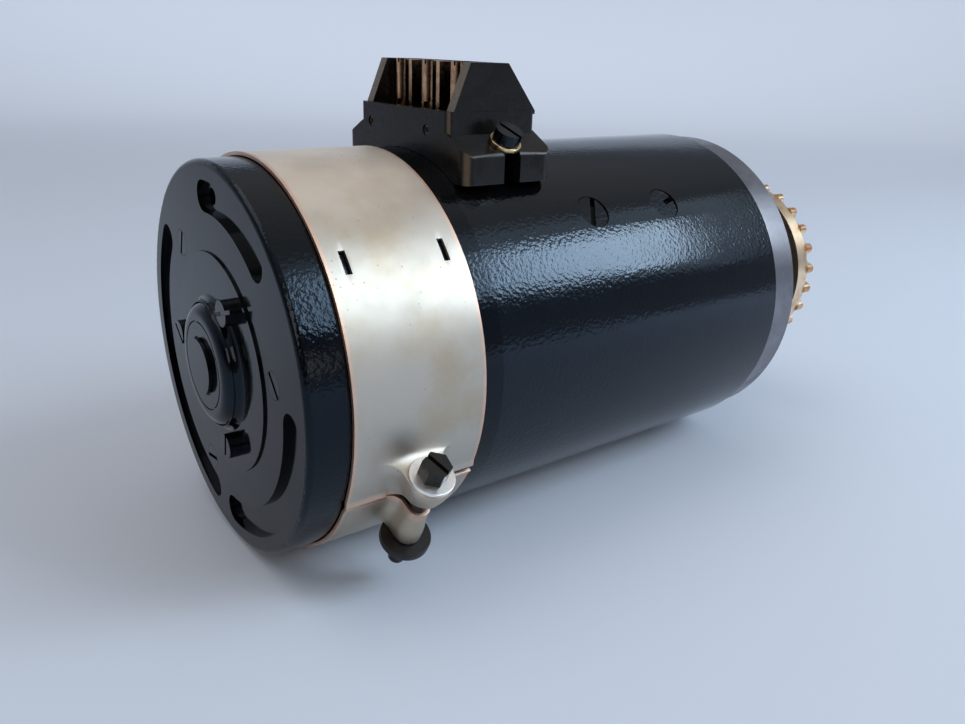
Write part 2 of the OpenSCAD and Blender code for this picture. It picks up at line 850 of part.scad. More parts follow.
module cover_band() {
    color("#c9bda4")
        difference() {
            union() {
                on_shaft(band_x0)
                    sector(band_outer_r, band_inner_r, band_width,
                           band_gap_angle + band_gap / 2 / band_outer_r * 180 / PI,
                           full_turn - band_gap / band_outer_r * 180 / PI);
                at_clamp() {
                    pressed_lug(lug_head_r, lug_taper, upper_lug_length);
                    mirror([0, 0, 1])
                        pressed_lug(lug_r, 0, lower_lug_length);
                }
            }
            on_shaft(band_x0 - 1)
                cylinder(r = band_inner_r, h = band_width + 2);
            at_clamp()
                translate([0, bolt_height, -lower_lug_end - 1])
                    cylinder(d = bolt_d + hole_clearance, h = upper_lug_end + lower_lug_end + 2);
            for (x = [band_x0 + band_slot_inset, band_x1 - band_slot_inset])
                radial(x, band_slot_angle)
                    translate([-band_slot_width / 2, -band_slot_length / 2, band_inner_r - 2])
                        cube([band_slot_width, band_slot_length, 5]);
        }
}

module clamp_bolt() {
    color("#1b1b1d")
        at_clamp()
            translate([0, bolt_height, 0])
                difference() {
                    union() {
                        translate([0, 0, upper_lug_end + bolt_washer_h])
                            rotate([0, 0, bolt_head_turn])
                                cylinder(d = bolt_head_corner_d, h = bolt_head_h, $fn = 6);
                        translate([0, 0, -lower_lug_end - nut_h - nut_collar_h - bolt_tail])
                            cylinder(d = bolt_d,
                                     h = upper_lug_end + lower_lug_end + bolt_washer_h + nut_h
                                         + nut_collar_h + bolt_tail + 0.1);
                    }
                    translate([0, 0, upper_lug_end + bolt_washer_h + bolt_head_h])
                        rotate([0, 0, bolt_slot_turn])
                            slot_cut(1.2, bolt_head_corner_d + 1, 1.3);
                }
}

module clamp_washer() {
    color("#dfe3e4")
        at_clamp()
            translate([0, bolt_height, upper_lug_end])
                tube(bolt_washer_d / 2, bolt_d / 2 + hole_clearance / 2, bolt_washer_h);
}

module clamp_nut() {
    rim_chamfer = 0.6;
    color("#17181b")
        at_clamp()
            translate([0, bolt_height, -lower_lug_end])
                mirror([0, 0, 1])
                    difference() {
                        union() {
                            cylinder(d = nut_d, h = nut_h - rim_chamfer);
                            translate([0, 0, nut_h - rim_chamfer])
                                cylinder(d1 = nut_d, d2 = nut_d - 2 * rim_chamfer, h = rim_chamfer);
                            cylinder(d = nut_collar_d, h = nut_h + nut_collar_h);
                        }
                        translate([0, 0, -1])
                            cylinder(d = bolt_d + hole_clearance, h = nut_h + nut_collar_h + 2);
                    }
}

// Yoke and field

// Height of a foot's tilted top face at a distance from the shaft's plane
function foot_z(y) = (foot_top_r - y * sin(foot_tilt)) / cos(foot_tilt);

// Stands on both feet where their screws go, local Z out along the screw and local Y outward
module block_screw_axes() {
    for (side = [0, 1])
        mirror([0, side, 0])
            at(block_screw_x, block_screw_y, foot_z(block_screw_y))
                rotate([-foot_tilt, 0, 0])
                    children();
}

module yoke() {
    color("#14151a")
        difference() {
            on_shaft(seam_x)
                tube(yoke_r, yoke_inner_r, yoke_length);
            for (turn = pair_turns, x = pole_screw_stations)
                radial(x, pole_angle + turn) {
                    translate([0, 0, yoke_inner_r - 2])
                        cylinder(d = pole_screw_d + hole_clearance, h = yoke_wall + 3);
                    translate([0, 0, yoke_r - pole_screw_sunk - pole_screw_head_h])
                        cylinder(d = pole_screw_head_d + 2 * hole_clearance, h = pole_screw_head_h + 2);
                }
            block_screw_axes()
                translate([0, 0, yoke_inner_r - foot_top_r - 1])
                    cylinder(d = block_screw_d + hole_clearance, h = foot_top_r - yoke_inner_r);
            at(block_mid_x, 0, yoke_inner_r - 2)
                cylinder(r = wire_hole_r, h = yoke_wall + 4);
        }
}

module pole_shoes() {
    color("#5a5c60")
        for (turn = pair_turns)
            on_shaft(pole_x0)
                rotate([0, 0, pole_angle + turn])
                    difference() {
                        union() {
                            sector(pole_inner_r + pole_lip, pole_inner_r, pole_length,
                                   -pole_arc / 2, pole_arc);
                            intersection() {
                                sector(pole_outer_r, pole_inner_r + 1, pole_length,
                                       -pole_arc / 2, pole_arc);
                                translate([0, -pole_neck / 2, 0])
                                    cube([yoke_r, pole_neck, pole_length]);
                            }
                        }
                        for (x = pole_screw_stations)
                            translate([0, 0, x - pole_x0])
                                rotate([0, 90, 0])
                                    translate([0, 0, yoke_inner_r - pole_screw_reach])
                                        cylinder(d = pole_screw_d + hole_clearance, h = yoke_wall + 10);
                    }
}

module pole_screws() {
    shank = yoke_wall - pole_screw_sunk - pole_screw_head_h + pole_screw_reach - 1;
    color("#101116")
        for (turn = pair_turns, i = [0, 1])
            radial(pole_screw_stations[i], pole_angle + turn)
                translate([0, 0, yoke_r - pole_screw_sunk - pole_screw_head_h])
                    slotted_screw(pole_screw_head_d, pole_screw_head_h, pole_screw_d, shank,
                                  pole_screw_turns[i]);
}

module field_coils() {
    window = soft_gap;
    color("#6a3d24")
        for (turn = pair_turns)
            on_shaft(pole_x0 - coil_side)
                rotate([0, 0, pole_angle + turn])
                    difference() {
                        sector(coil_outer_r, coil_inner_r, pole_length + 2 * coil_side,
                               -coil_arc / 2, coil_arc);
                        translate([0, -pole_neck / 2 - window, coil_side - window])
                            cube([yoke_r, pole_neck + 2 * window, pole_length + 2 * window]);
                    }
}

// Terminal block

// Side view of the block's box, local X along the shaft and local Y up
module box_side() {
    translate([0, -20])
        square([block_length, block_rim + 20]);
}

// Side view of the cheeks, which draw in above the box's rim
module cheek_side() {
    polygon([
        [cheek_setback, block_rim - 1],
        [block_length, block_rim - 1],
        [block_length, block_rim],
        [block_length - cheek_back_draw, block_top],
        [cheek_front_draw, block_top],
        [cheek_setback, block_rim]
    ]);
}

module along_y(width) {
    translate([0, width / 2, 0])
        rotate([90, 0, 0])
            linear_extrude(width)
                children();
}

// Section of both feet across the shaft, their top faces tilted and their outer edges eased
module feet_section() {
    ease = 0.8;
    outer_y = block_feet_width / 2;
    for (side = [0, 1])
        mirror([side, 0])
            polygon([
                [0, foot_bottom_z],
                [outer_y, foot_bottom_z],
                [outer_y, foot_z(outer_y) - ease],
                [outer_y - ease, foot_z(outer_y - ease)],
                [block_width / 2 - 1, foot_z(block_width / 2 - 1)],
                [0, foot_z(block_width / 2 - 1)]
            ]);
}

module terminal_block() {
    inner_width = block_width - 2 * block_wall;
    color("#1d1a19")
        difference() {
            union() {
                intersection() {
                    at(block_x0, 0, yoke_r)
                        along_y(block_width)
                            box_side();
                    at(block_x0, -block_width / 2, 0)
                        rounded_plate(block_length, block_width, yoke_r + block_top, box_corner);
                }
                at(block_x0, 0, yoke_r)
                    along_y(block_width - 2 * cheek_step)
                        cheek_side();
                intersection() {
                    on_shaft(block_x0)
                        linear_extrude(block_length)
                            feet_section();
                    at(block_x0, -block_feet_width / 2, 0)
                        rounded_plate(block_length, block_feet_width, yoke_r + block_top,
                                      foot_corner);
                }
            }
            on_shaft(block_x0 - 1)
                cylinder(r = yoke_r + seat_gap, h = block_length + 2);
            at(block_x0 - 1, -block_feet_width / 2 - 1, 0)
                cube([block_length + 2, block_feet_width + 2, foot_bottom_z]);
            at(block_x0, 0, yoke_r)
                along_y(inner_width)
                    polygon([
                        [front_wall, block_floor],
                        [block_length - 4, block_floor],
                        [block_length - 4, block_rim - 1],
                        [block_length - cheek_back_draw - 2.6, block_top + 1],
                        [-1, block_top + 1],
                        [-1, block_rim],
                        [front_wall, block_rim]
                    ]);
            block_screw_axes() {
                translate([-foot_slot_width / 2, 0, -foot_top_r / 3])
                    cube([foot_slot_width, block_feet_width / 2, foot_top_r / 3 + 1]);
                translate([0, 0, -foot_top_r / 3])
                    cylinder(d = foot_slot_width, h = foot_top_r / 3 + 1);
                cylinder(d = spring_washer_d + 0.6, h = block_rim);
            }
            block_rivet_axes()
                cylinder(d = block_rivet_d, h = front_wall + 2);
            at(block_mid_x, 0, yoke_r - 4)
                cylinder(r = wire_hole_r, h = block_floor + 6);
        }
}

// Along the two rivets that hold the outer terminals, from just before the block's front face
module block_rivet_axes() {
    for (side = [-1, 1])
        at(block_x0 - 1, block_rivet_shift + side * block_rivet_spacing / 2, block_rivet_z)
            rotate([0, 90, 0])
                children();
}

module terminals() {
    foot_x = block_x0 + front_wall - terminal_x0;
    color("#b8793f")
        difference() {
            for (y = terminal_y)
                at(terminal_x0, y - terminal_width / 2, block_floor_z)
                    difference() {
                        union() {
                            cube([terminal_depth, terminal_width, terminal_top_z - block_floor_z]);
                            translate([foot_x, 0, 0])
                                cube([1 - foot_x, terminal_width, terminal_foot]);
                        }
                        translate([-1, thin_leg, terminal_foot])
                            cube([terminal_depth + 2, wire_slot, terminal_top_z]);
                    }
            terminal_screw_axes()
                translate([0, 0, -terminal_bore_depth])
                    cylinder(d = terminal_screw_d + hole_clearance, h = terminal_bore_depth + 1);
            block_rivet_axes()
                cylinder(d = block_rivet_d - 2 * hole_clearance, h = front_wall + 4);
        }
}

// On top of each terminal's wide leg, where its bore breaks out of the leg's front face
module terminal_screw_axes() {
    for (y = terminal_y)
        at(terminal_x0 + 0.4, y - terminal_width / 2 + thin_leg + wire_slot + wide_leg / 2,
           terminal_top_z)
            children();
}

// Headless slotted screws in the terminals' bores
module terminal_screws() {
    top = block_top_z + terminal_screw_proud - terminal_top_z;
    slotted_end = 3;
    color("#c58a4e")
        terminal_screw_axes()
            translate([0, 0, top - slotted_end])
                slotted_screw(terminal_screw_d, slotted_end, terminal_screw_d,
                              terminal_bore_depth - slotted_end - 2, 25);
}

module terminal_block_rivets() {
    color("#b98a52")
        block_rivet_axes()
            translate([0, 0, 1 + rivet_sunk])
                cylinder(d = block_rivet_d - 2 * hole_clearance, h = front_wall + 2 - rivet_sunk);
}

module terminal_block_screws() {
    color("#1d1b1a")
        block_screw_axes()
            translate([0, 0, spring_washer_h])
                slotted_screw(block_screw_head_d, block_screw_head_h, block_screw_d,
                              block_screw_length, block_screw_turn);
}

module terminal_block_washers() {
    split = 0.9;
    color("#c9a24f")
        block_screw_axes()
            difference() {
                tube(spring_washer_d / 2, block_screw_d / 2 + hole_clearance, spring_washer_h);
                translate([0, -split / 2, -1])
                    cube([spring_washer_d, split, spring_washer_h + 2]);
            }
}

// Brush gear

brush_track_x = commutator_x0 + (commutator_length - brush_wide) / 2;
brush_foot_r = commutator_d / 2 + brush_running_gap;
brush_top_r = brush_foot_r + brush_high;
box_foot_r = commutator_d / 2 + brush_box_gap;
box_x0 = brush_track_x - brush_clearance - brush_box_wall;
box_x1 = brush_track_x + brush_wide + brush_clearance + brush_box_wall;
tip_r = brush_top_r + soft_gap + spring_tip_r;
post_r = tip_r + spring_arm * sin(spring_swing);
post_offset = spring_arm * cos(spring_swing);
spring_x = brush_track_x + (brush_wide - spring_width) / 2;

// Stands on the shaft at a brush: local X outward, local Y around and local Z along the shaft
module at_brush(turn) {
    on_shaft()
        rotate([0, 0, pole_angle + turn])
            children();
}

module brush_plate() {
    inner_r = front_housing_r + 1;
    outer_r = barrel_inner_r - 1;
    color("#5b3a22")
        on_shaft(plate_x0)
            difference() {
                tube(outer_r, inner_r, brush_plate);
                for (angle = plate_screw_angles)
                    rotate([0, 0, angle])
                        translate([plate_screw_circle_r, 0, -1])
                            cylinder(d = small_thread_d + hole_clearance, h = brush_plate + 2);
            }
}

// Open box that guides the brush, on two legs that stand on the brush plate
module brush_box(turn) {
    cavity = brush_thick / 2 + brush_clearance;
    half = cavity + brush_box_wall;
    color("#b08d4f")
        at_brush(turn) {
            difference() {
                translate([box_foot_r, -half, box_x0])
                    cube([brush_box_high, 2 * half, box_x1 - box_x0]);
                translate([box_foot_r - 1, -cavity, brush_track_x - brush_clearance])
                    cube([brush_box_high + 2, 2 * cavity, brush_wide + 2 * brush_clearance]);
            }
            for (y = [-half, cavity])
                translate([box_foot_r, y, plate_x1])
                    cube([brush_box_high, brush_box_wall, box_x0 - plate_x1 + 0.1]);
        }
}

module brush(turn) {
    color("#2b2b2e")
        at_brush(turn)
            difference() {
                translate([brush_foot_r - 1, -brush_thick / 2, brush_track_x])
                    cube([brush_high + 1, brush_thick, brush_wide]);
                cylinder(r = commutator_d / 2 + brush_running_gap, h = seam_x);
            }
}

module spring_post(turn) {
    color("#c0b48c")
        at_brush(turn)
            translate([post_r, post_offset, plate_x1])
                cylinder(d = post_d, h = spring_x + spring_width + 2 - plate_x1);
}

// Flat spring wound on its post, with the arm that presses on the brush
module brush_spring(turn) {
    color("#8f8466")
        at_brush(turn)
            translate([0, 0, spring_x])
                difference() {
                    union() {
                        translate([post_r, post_offset, 0]) {
                            cylinder(r = spring_coil_r, h = spring_width);
                            rotate([0, 0, -90 - spring_swing])
                                translate([0, -spring_strip / 2, 0])
                                    cube([spring_arm, spring_strip, spring_width]);
                        }
                        translate([tip_r, 0, 0])
                            cylinder(r = spring_tip_r, h = spring_width);
                    }
                    translate([post_r, post_offset, -1])
                        cylinder(r = post_d / 2 + running_clearance, h = spring_width + 2);
                }
}

module brush_box_a() { brush_box(pair_turns[0]); }
module brush_box_b() { brush_box(pair_turns[1]); }
module brush_a() { brush(pair_turns[0]); }
module brush_b() { brush(pair_turns[1]); }
module spring_post_a() { spring_post(pair_turns[0]); }
module spring_post_b() { spring_post(pair_turns[1]); }
module brush_spring_a() { brush_spring(pair_turns[0]); }
module brush_spring_b() { brush_spring(pair_turns[1]); }

// Armature

module armature_shaft() {
    color("#9ea2a6")
        difference() {
            union() {
                on_shaft(shaft_x0)
                    cylinder(d = front_bore, h = front_width + front_lip + 1);
                on_shaft(front_housing_x1 + 0.5)
                    cylinder(d = commutator_seat_d, h = core_x0 - front_housing_x1);
                on_shaft(core_x0 - 0.1)
                    cylinder(d = shaft_d, h = rear_bearing_x0 - core_x0 + 0.1);
                on_shaft(rear_bearing_x0 - 0.1)
                    cylinder(d = rear_bore, h = hub_x1 - rear_bearing_x0 - 0.6);
                on_shaft(hub_x1 - 1)
                    cylinder(r = thread_r, h = thread_length + 1);
            }
            gear_keyway(0);
        }
}

module gear_keyway(clearance) {
    at(hub_x1 - key_length - 6 - clearance, -key_width / 2 - clearance, rear_bore / 2 - key_stand)
        cube([key_length + 2 * clearance, key_width + 2 * clearance, 2 * key_stand + clearance]);
}

module armature_core() {
    slot_mid_r = core_d / 2 - core_slot_depth + core_slot_width / 2;
    slot_top_r = core_d / 2 - 2;
    color("#6b6d70")
        on_shaft(core_x0)
            difference() {
                tube(core_d / 2, core_bore_r, core_length);
                for (i = [0 : core_slots - 1])
                    rotate([0, 0, i * 360 / core_slots]) {
                        translate([slot_mid_r, 0, -1])
                            cylinder(d = core_slot_width, h = core_length + 2, $fn = 24);
                        translate([slot_mid_r, -core_slot_width / 2, -1])
                            cube([slot_top_r - slot_mid_r, core_slot_width, core_length + 2]);
                        translate([slot_mid_r, -core_slot_mouth / 2, -1])
                            cube([core_slot_depth, core_slot_mouth, core_length + 2]);
                    }
            }
}

module winding_overhang(length) {
    inner_r = core_bore_r + 2;
    rounding = 5;
    rotate_extrude() {
        translate([inner_r, 0])
            square([winding_r - inner_r - rounding, length]);
        translate([inner_r, rounding])
            square([winding_r - inner_r, length - 2 * rounding]);
        for (y = [rounding, length - rounding])
            translate([winding_r - rounding, y])
                circle(r = rounding);
    }
}

// Wound bars in the slots, and the rounded overhang at both ends of the core
module armature_windings() {
    bar_r = core_d / 2 - core_slot_depth + core_slot_width / 2;
    color("#8c3f22")
        on_shaft() {
            for (i = [0 : core_slots - 1])
                rotate([0, 0, i * 360 / core_slots]) {
                    translate([bar_r, 0, core_x0 - 1])
                        cylinder(d = core_slot_width - 0.3, h = core_length + 2, $fn = 24);
                    translate([bar_r, -core_slot_width / 2 + 0.15, core_x0 - 1])
                        cube([core_slot_depth - core_slot_width / 2 - 2.2, core_slot_width - 0.3,
                              core_length + 2]);
                }
            translate([0, 0, core_x0 - overhang])
                winding_overhang(overhang - 0.2);
            translate([0, 0, core_x1 + 0.2])
                winding_overhang(rear_overhang - 0.2);
        }
}

module commutator() {
    color("#c07a4a")
        on_shaft(commutator_x0)
            difference() {
                union() {
                    cylinder(d = commutator_d, h = commutator_length);
                    translate([0, 0, commutator_length - 0.1])
                        cylinder(r = riser_r, h = riser_length + 0.1);
                }
                translate([0, 0, -1])
                    cylinder(r = sleeve_r, h = commutator_length + riser_length + 2);
                for (i = [0 : commutator_bars - 1])
                    rotate([0, 0, i * 360 / commutator_bars])
                        translate([commutator_d / 2 - undercut, -undercut / 2, -1])
                            cube([5, undercut, commutator_length + riser_length + 2]);
            }
}

module commutator_sleeve() {
    color("#4a2a17")
        on_shaft(commutator_x0)
            tube(sleeve_r, commutator_seat_d / 2, commutator_length + riser_length);
}

// Drive end

module drive_end_bracket() {
    ring_wall = 8;
    color("#9a9da1")
        on_shaft()
            difference() {
                union() {
                    translate([0, 0, yoke_x1])
                        cylinder(r = ring_r, h = ring_length);
                    translate([0, 0, yoke_x1 - spigot_length])
                        cylinder(r = spigot_r, h = spigot_length + 1);
                    translate([0, 0, ring_x1 - 1])
                        cylinder(r = housing_r, h = nose_length + 1);
                }
                translate([0, 0, yoke_x1 - spigot_length - 1])
                    difference() {
                        cylinder(r = spigot_r - 5,
                                 h = spigot_length + 1 + ring_length - drive_wall);
                        cylinder(r = housing_r, h = ring_length + spigot_length);
                        for (turn = bolt_turns)
                            rotate([0, 0, pole_angle + turn])
                                translate([through_bolt_circle_r, 0, 0])
                                    cylinder(d = through_bolt_head_d + 4, h = ring_length + spigot_length);
                    }
                translate([0, 0, yoke_x1 - spigot_length - 1])
                    cylinder(r = shaft_hole_r, h = ring_length + nose_length + spigot_length + 2);
                translate([0, 0, yoke_x1 - spigot_length - 1])
                    cylinder(r = rear_outer / 2, h = rear_bearing_x1 - yoke_x1 + spigot_length + 1);
                translate([0, 0, felt_x0])
                    cylinder(r = felt_r, h = felt_width);
                through_bolt_holes(yoke_x1 - spigot_length - 1, spigot_length + ring_length + 2);
                for (turn = bolt_turns)
                    rotate([0, 0, pole_angle + turn])
                        translate([through_bolt_circle_r, 0, ring_x1 - through_bolt_head_h])
                            cylinder(d = through_bolt_head_d + 2 * hole_clearance, h = 10);
            }
}

module through_bolts() {
    seat_x = ring_x1 - through_bolt_head_h;
    color("#3c3d40")
        on_shaft()
            for (turn = bolt_turns)
                rotate([0, 0, pole_angle + turn])
                    translate([through_bolt_circle_r, 0, seat_x])
                        slotted_screw(through_bolt_head_d, through_bolt_head_h, through_bolt_d,
                                      seat_x - seam_x + 10, 45);
}

module rear_bearing_outer_race() {
    color("#b9bcc0")
        on_shaft(rear_bearing_x0)
            bearing_race(pitch_radius(rear_bore, rear_outer) + shoulder(rear_bore, rear_outer),
                         rear_outer / 2, rear_width, pitch_radius(rear_bore, rear_outer),
                         ball_radius(rear_bore, rear_outer));
}

module rear_bearing_balls() {
    color("#d5d8db")
        on_shaft(rear_bearing_x0)
            bearing_ball_ring(rear_balls, rear_width, pitch_radius(rear_bore, rear_outer),
                              ball_radius(rear_bore, rear_outer));
}

module rear_bearing_inner_race() {
    color("#b9bcc0")
        on_shaft(rear_bearing_x0)
            bearing_race(rear_bore / 2,
                         pitch_radius(rear_bore, rear_outer) - shoulder(rear_bore, rear_outer),
                         rear_width, pitch_radius(rear_bore, rear_outer),
                         ball_radius(rear_bore, rear_outer));
}

// Ring that keeps the drive end bearing in its housing, from inside
module bearing_retainer() {
    color("#77797c")
        on_shaft(retainer_x0)
            tube(rear_outer / 2 - seat_gap, rear_outer / 2 - retainer_wall,
                 rear_bearing_x0 - retainer_x0);
}

module felt_seal() {
    color("#8d8570")
        on_shaft(felt_x0)
            tube(felt_r, rear_bore / 2 + running_clearance, felt_width);
}

module gear_key() {
    color("#55575a")
        gear_keyway(-0.02);
}

module gear_hub() {
    color("#4c4a48")
        difference() {
            on_shaft() {
                translate([0, 0, hub_x0])
                    cylinder(r = hub_boss_r, h = hub_x1 - hub_x0);
                translate([0, 0, gear_x0 + gear_dish])
                    cylinder(r = gear_seat_r, h = gear_x1 - gear_x0 - gear_dish);
                translate([0, 0, gear_x1 - hub_flange_h])
                    cylinder(r = hub_flange_r, h = hub_flange_h);
            }
            on_shaft(hub_x0 - 1)
                cylinder(d = rear_bore, h = hub_x1 - hub_x0 + 2);
            gear_keyway(0.02);
            gear_rivet_axes()
                cylinder(d = gear_rivet_d, h = gear_x1);
        }
}

module gear_rivet_axes() {
    for (i = [0 : gear_rivets_count - 1])
        on_shaft()
            rotate([0, 0, i * 360 / gear_rivets_count])
                translate([gear_rivet_circle_r, 0, 0])
                    children();
}

// Outline of the teeth: round tips that run into round gaps
module tooth_outline() {
    tip_r = gear_tip_d / 2;
    root_r = tip_r - tooth_depth;
    pitch_r = (tip_r + root_r) / 2;
    bump = pitch_r * sin(90 / gear_teeth) * 1.02;
    difference() {
        circle(r = pitch_r, $fn = 180);
        for (i = [0 : gear_teeth - 1])
            rotate([0, 0, tooth_phase + (i + 0.5) * 360 / gear_teeth])
                translate([root_r + bump, 0])
                    circle(r = bump, $fn = 32);
    }
    for (i = [0 : gear_teeth - 1])
        rotate([0, 0, tooth_phase + i * 360 / gear_teeth])
            translate([tip_r - bump, 0])
                circle(r = bump, $fn = 32);
}

module drive_gear() {
    color("#b07a45")
        difference() {
            union() {
                on_shaft(gear_x0)
                    cylinder(d = gear_shoulder_d, h = gear_shoulder_length + 0.1);
                on_shaft(tooth_x0)
                    linear_extrude(tooth_length)
                        tooth_outline();
            }
            on_shaft(gear_x0 - 1)
                cylinder(r = gear_seat_r, h = gear_x1 - gear_x0 + 2);
            on_shaft(gear_x0 - 1)
                cylinder(r = hub_flange_r + 1, h = gear_dish + 1);
            on_shaft(gear_x1 - hub_flange_h)
                cylinder(r = hub_flange_r, h = hub_flange_h + 1);
            gear_rivet_axes()
                cylinder(d = gear_rivet_d, h = gear_x1);
        }
}

module gear_rivets() {
    head = 1.2;
    color("#c9a070")
        gear_rivet_axes()
            translate([0, 0, gear_x0 + gear_dish - head]) {
                cylinder(d = gear_rivet_d, h = gear_x1 - gear_x0 - gear_dish + 2 * head);
                cylinder(d = gear_rivet_d + 2.4, h = head);
                translate([0, 0, gear_x1 - gear_x0 - gear_dish + head])
                    cylinder(d = gear_rivet_d + 2.4, h = head);
            }
}

module gear_lock_washer() {
    color("#8b8d90")
        on_shaft(hub_x1)
            tube(nut_flats / 2 + 1, thread_r + hole_clearance / 2, washer_h);
}

module gear_nut() {
    color("#7c7e81")
        on_shaft(hub_x1 + washer_h)
            difference() {
                cylinder(d = nut_flats / cos(30), h = end_nut_h, $fn = 6);
                translate([0, 0, -1])
                    cylinder(r = thread_r + running_clearance, h = end_nut_h + 2);
            }
}

commutator_end_bracket();
bearing_cover();
bearing_cover_screws();
brush_plate_screws();
front_bearing_outer_race();
front_bearing_balls();
front_bearing_inner_race();
cover_band();
clamp_bolt();
clamp_washer();
clamp_nut();
yoke();
pole_shoes();
pole_screws();
field_coils();
terminal_block();
terminals();
terminal_screws();
terminal_block_rivets();
terminal_block_screws();
terminal_block_washers();
brush_plate();
brush_box_a();
brush_box_b();
brush_a();
brush_b();
spring_post_a();
spring_post_b();
brush_spring_a();
brush_spring_b();
armature_shaft();
armature_core();
armature_windings();
commutator();
commutator_sleeve();
drive_end_bracket();
through_bolts();
rear_bearing_outer_race();
rear_bearing_balls();
rear_bearing_inner_race();
bearing_retainer();
felt_seal();
gear_key();
gear_hub();
drive_gear();
gear_rivets();
gear_lock_washer();
gear_nut();
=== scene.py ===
import math

import bmesh
import bpy
from mathutils import Matrix, Vector


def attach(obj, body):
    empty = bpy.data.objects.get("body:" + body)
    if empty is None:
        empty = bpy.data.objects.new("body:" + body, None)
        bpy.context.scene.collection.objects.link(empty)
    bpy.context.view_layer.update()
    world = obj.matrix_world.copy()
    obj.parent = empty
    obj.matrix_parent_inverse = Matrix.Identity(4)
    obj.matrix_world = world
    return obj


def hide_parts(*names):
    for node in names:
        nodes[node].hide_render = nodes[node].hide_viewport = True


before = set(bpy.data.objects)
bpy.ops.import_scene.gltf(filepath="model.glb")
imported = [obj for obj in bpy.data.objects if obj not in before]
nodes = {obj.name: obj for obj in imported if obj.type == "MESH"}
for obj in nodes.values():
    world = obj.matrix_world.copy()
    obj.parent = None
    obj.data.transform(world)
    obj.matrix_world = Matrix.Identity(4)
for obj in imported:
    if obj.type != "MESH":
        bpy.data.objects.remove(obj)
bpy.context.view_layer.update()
scene = bpy.context.scene


# Camera, at the photograph's viewing angle

CAMERA_PLACE = (-0.21147, -0.21806, 0.08561)
CAMERA_FORWARD = (0.56993, 0.74093, -0.35528)
CAMERA_LEAN = math.radians(1.96)
CAMERA_LENS = 30.78


def make_camera():
    data = bpy.data.cameras.new("camera")
    data.lens = CAMERA_LENS
    data.sensor_width = 36.0
    data.clip_start = 0.01
    data.clip_end = 50
    camera = bpy.data.objects.new("camera", data)
    scene.collection.objects.link(camera)
    forward = Vector(CAMERA_FORWARD).normalized()
    side = forward.cross(Vector((0, 0, 1))).normalized()
    above = side.cross(forward)
    up = math.cos(CAMERA_LEAN) * above - math.sin(CAMERA_LEAN) * side
    right = math.cos(CAMERA_LEAN) * side + math.sin(CAMERA_LEAN) * above
    turn = Matrix((right, up, -forward)).transposed()
    camera.matrix_world = Matrix.Translation(CAMERA_PLACE) @ turn.to_4x4()
    scene.camera = camera


# Broken edges on the CAD pieces in view: width in metres, and the nodes

BROKEN_EDGES = (
    (0.0007, ("terminal_block",)),
    (0.0003, ("clamp_bolt", "clamp_nut", "terminal_block_screws", "bearing_cover_screws")),
    (0.0002, ("clamp_washer", "terminals", "terminal_block_washers")),
)
WELD_DISTANCE = 0.00001
SHARP_EDGE = math.radians(35)


def break_edges():
    """Rounds the sharp edges of CAD nodes, with modifiers and no change to their meshes."""
    for width, names in BROKEN_EDGES:
        for name in names:
            weld = nodes[name].modifiers.new("weld", "WELD")
            weld.merge_threshold = WELD_DISTANCE
            bevel = nodes[name].modifiers.new("bevel", "BEVEL")
            bevel.width = width
            bevel.segments = 3
            bevel.limit_method = "ANGLE"
            bevel.angle_limit = SHARP_EDGE
            nodes[name].modifiers.new("normals", "WEIGHTED_NORMAL")


# Materials. Lengths are in metres, and the scale of a noise is in patches per metre.

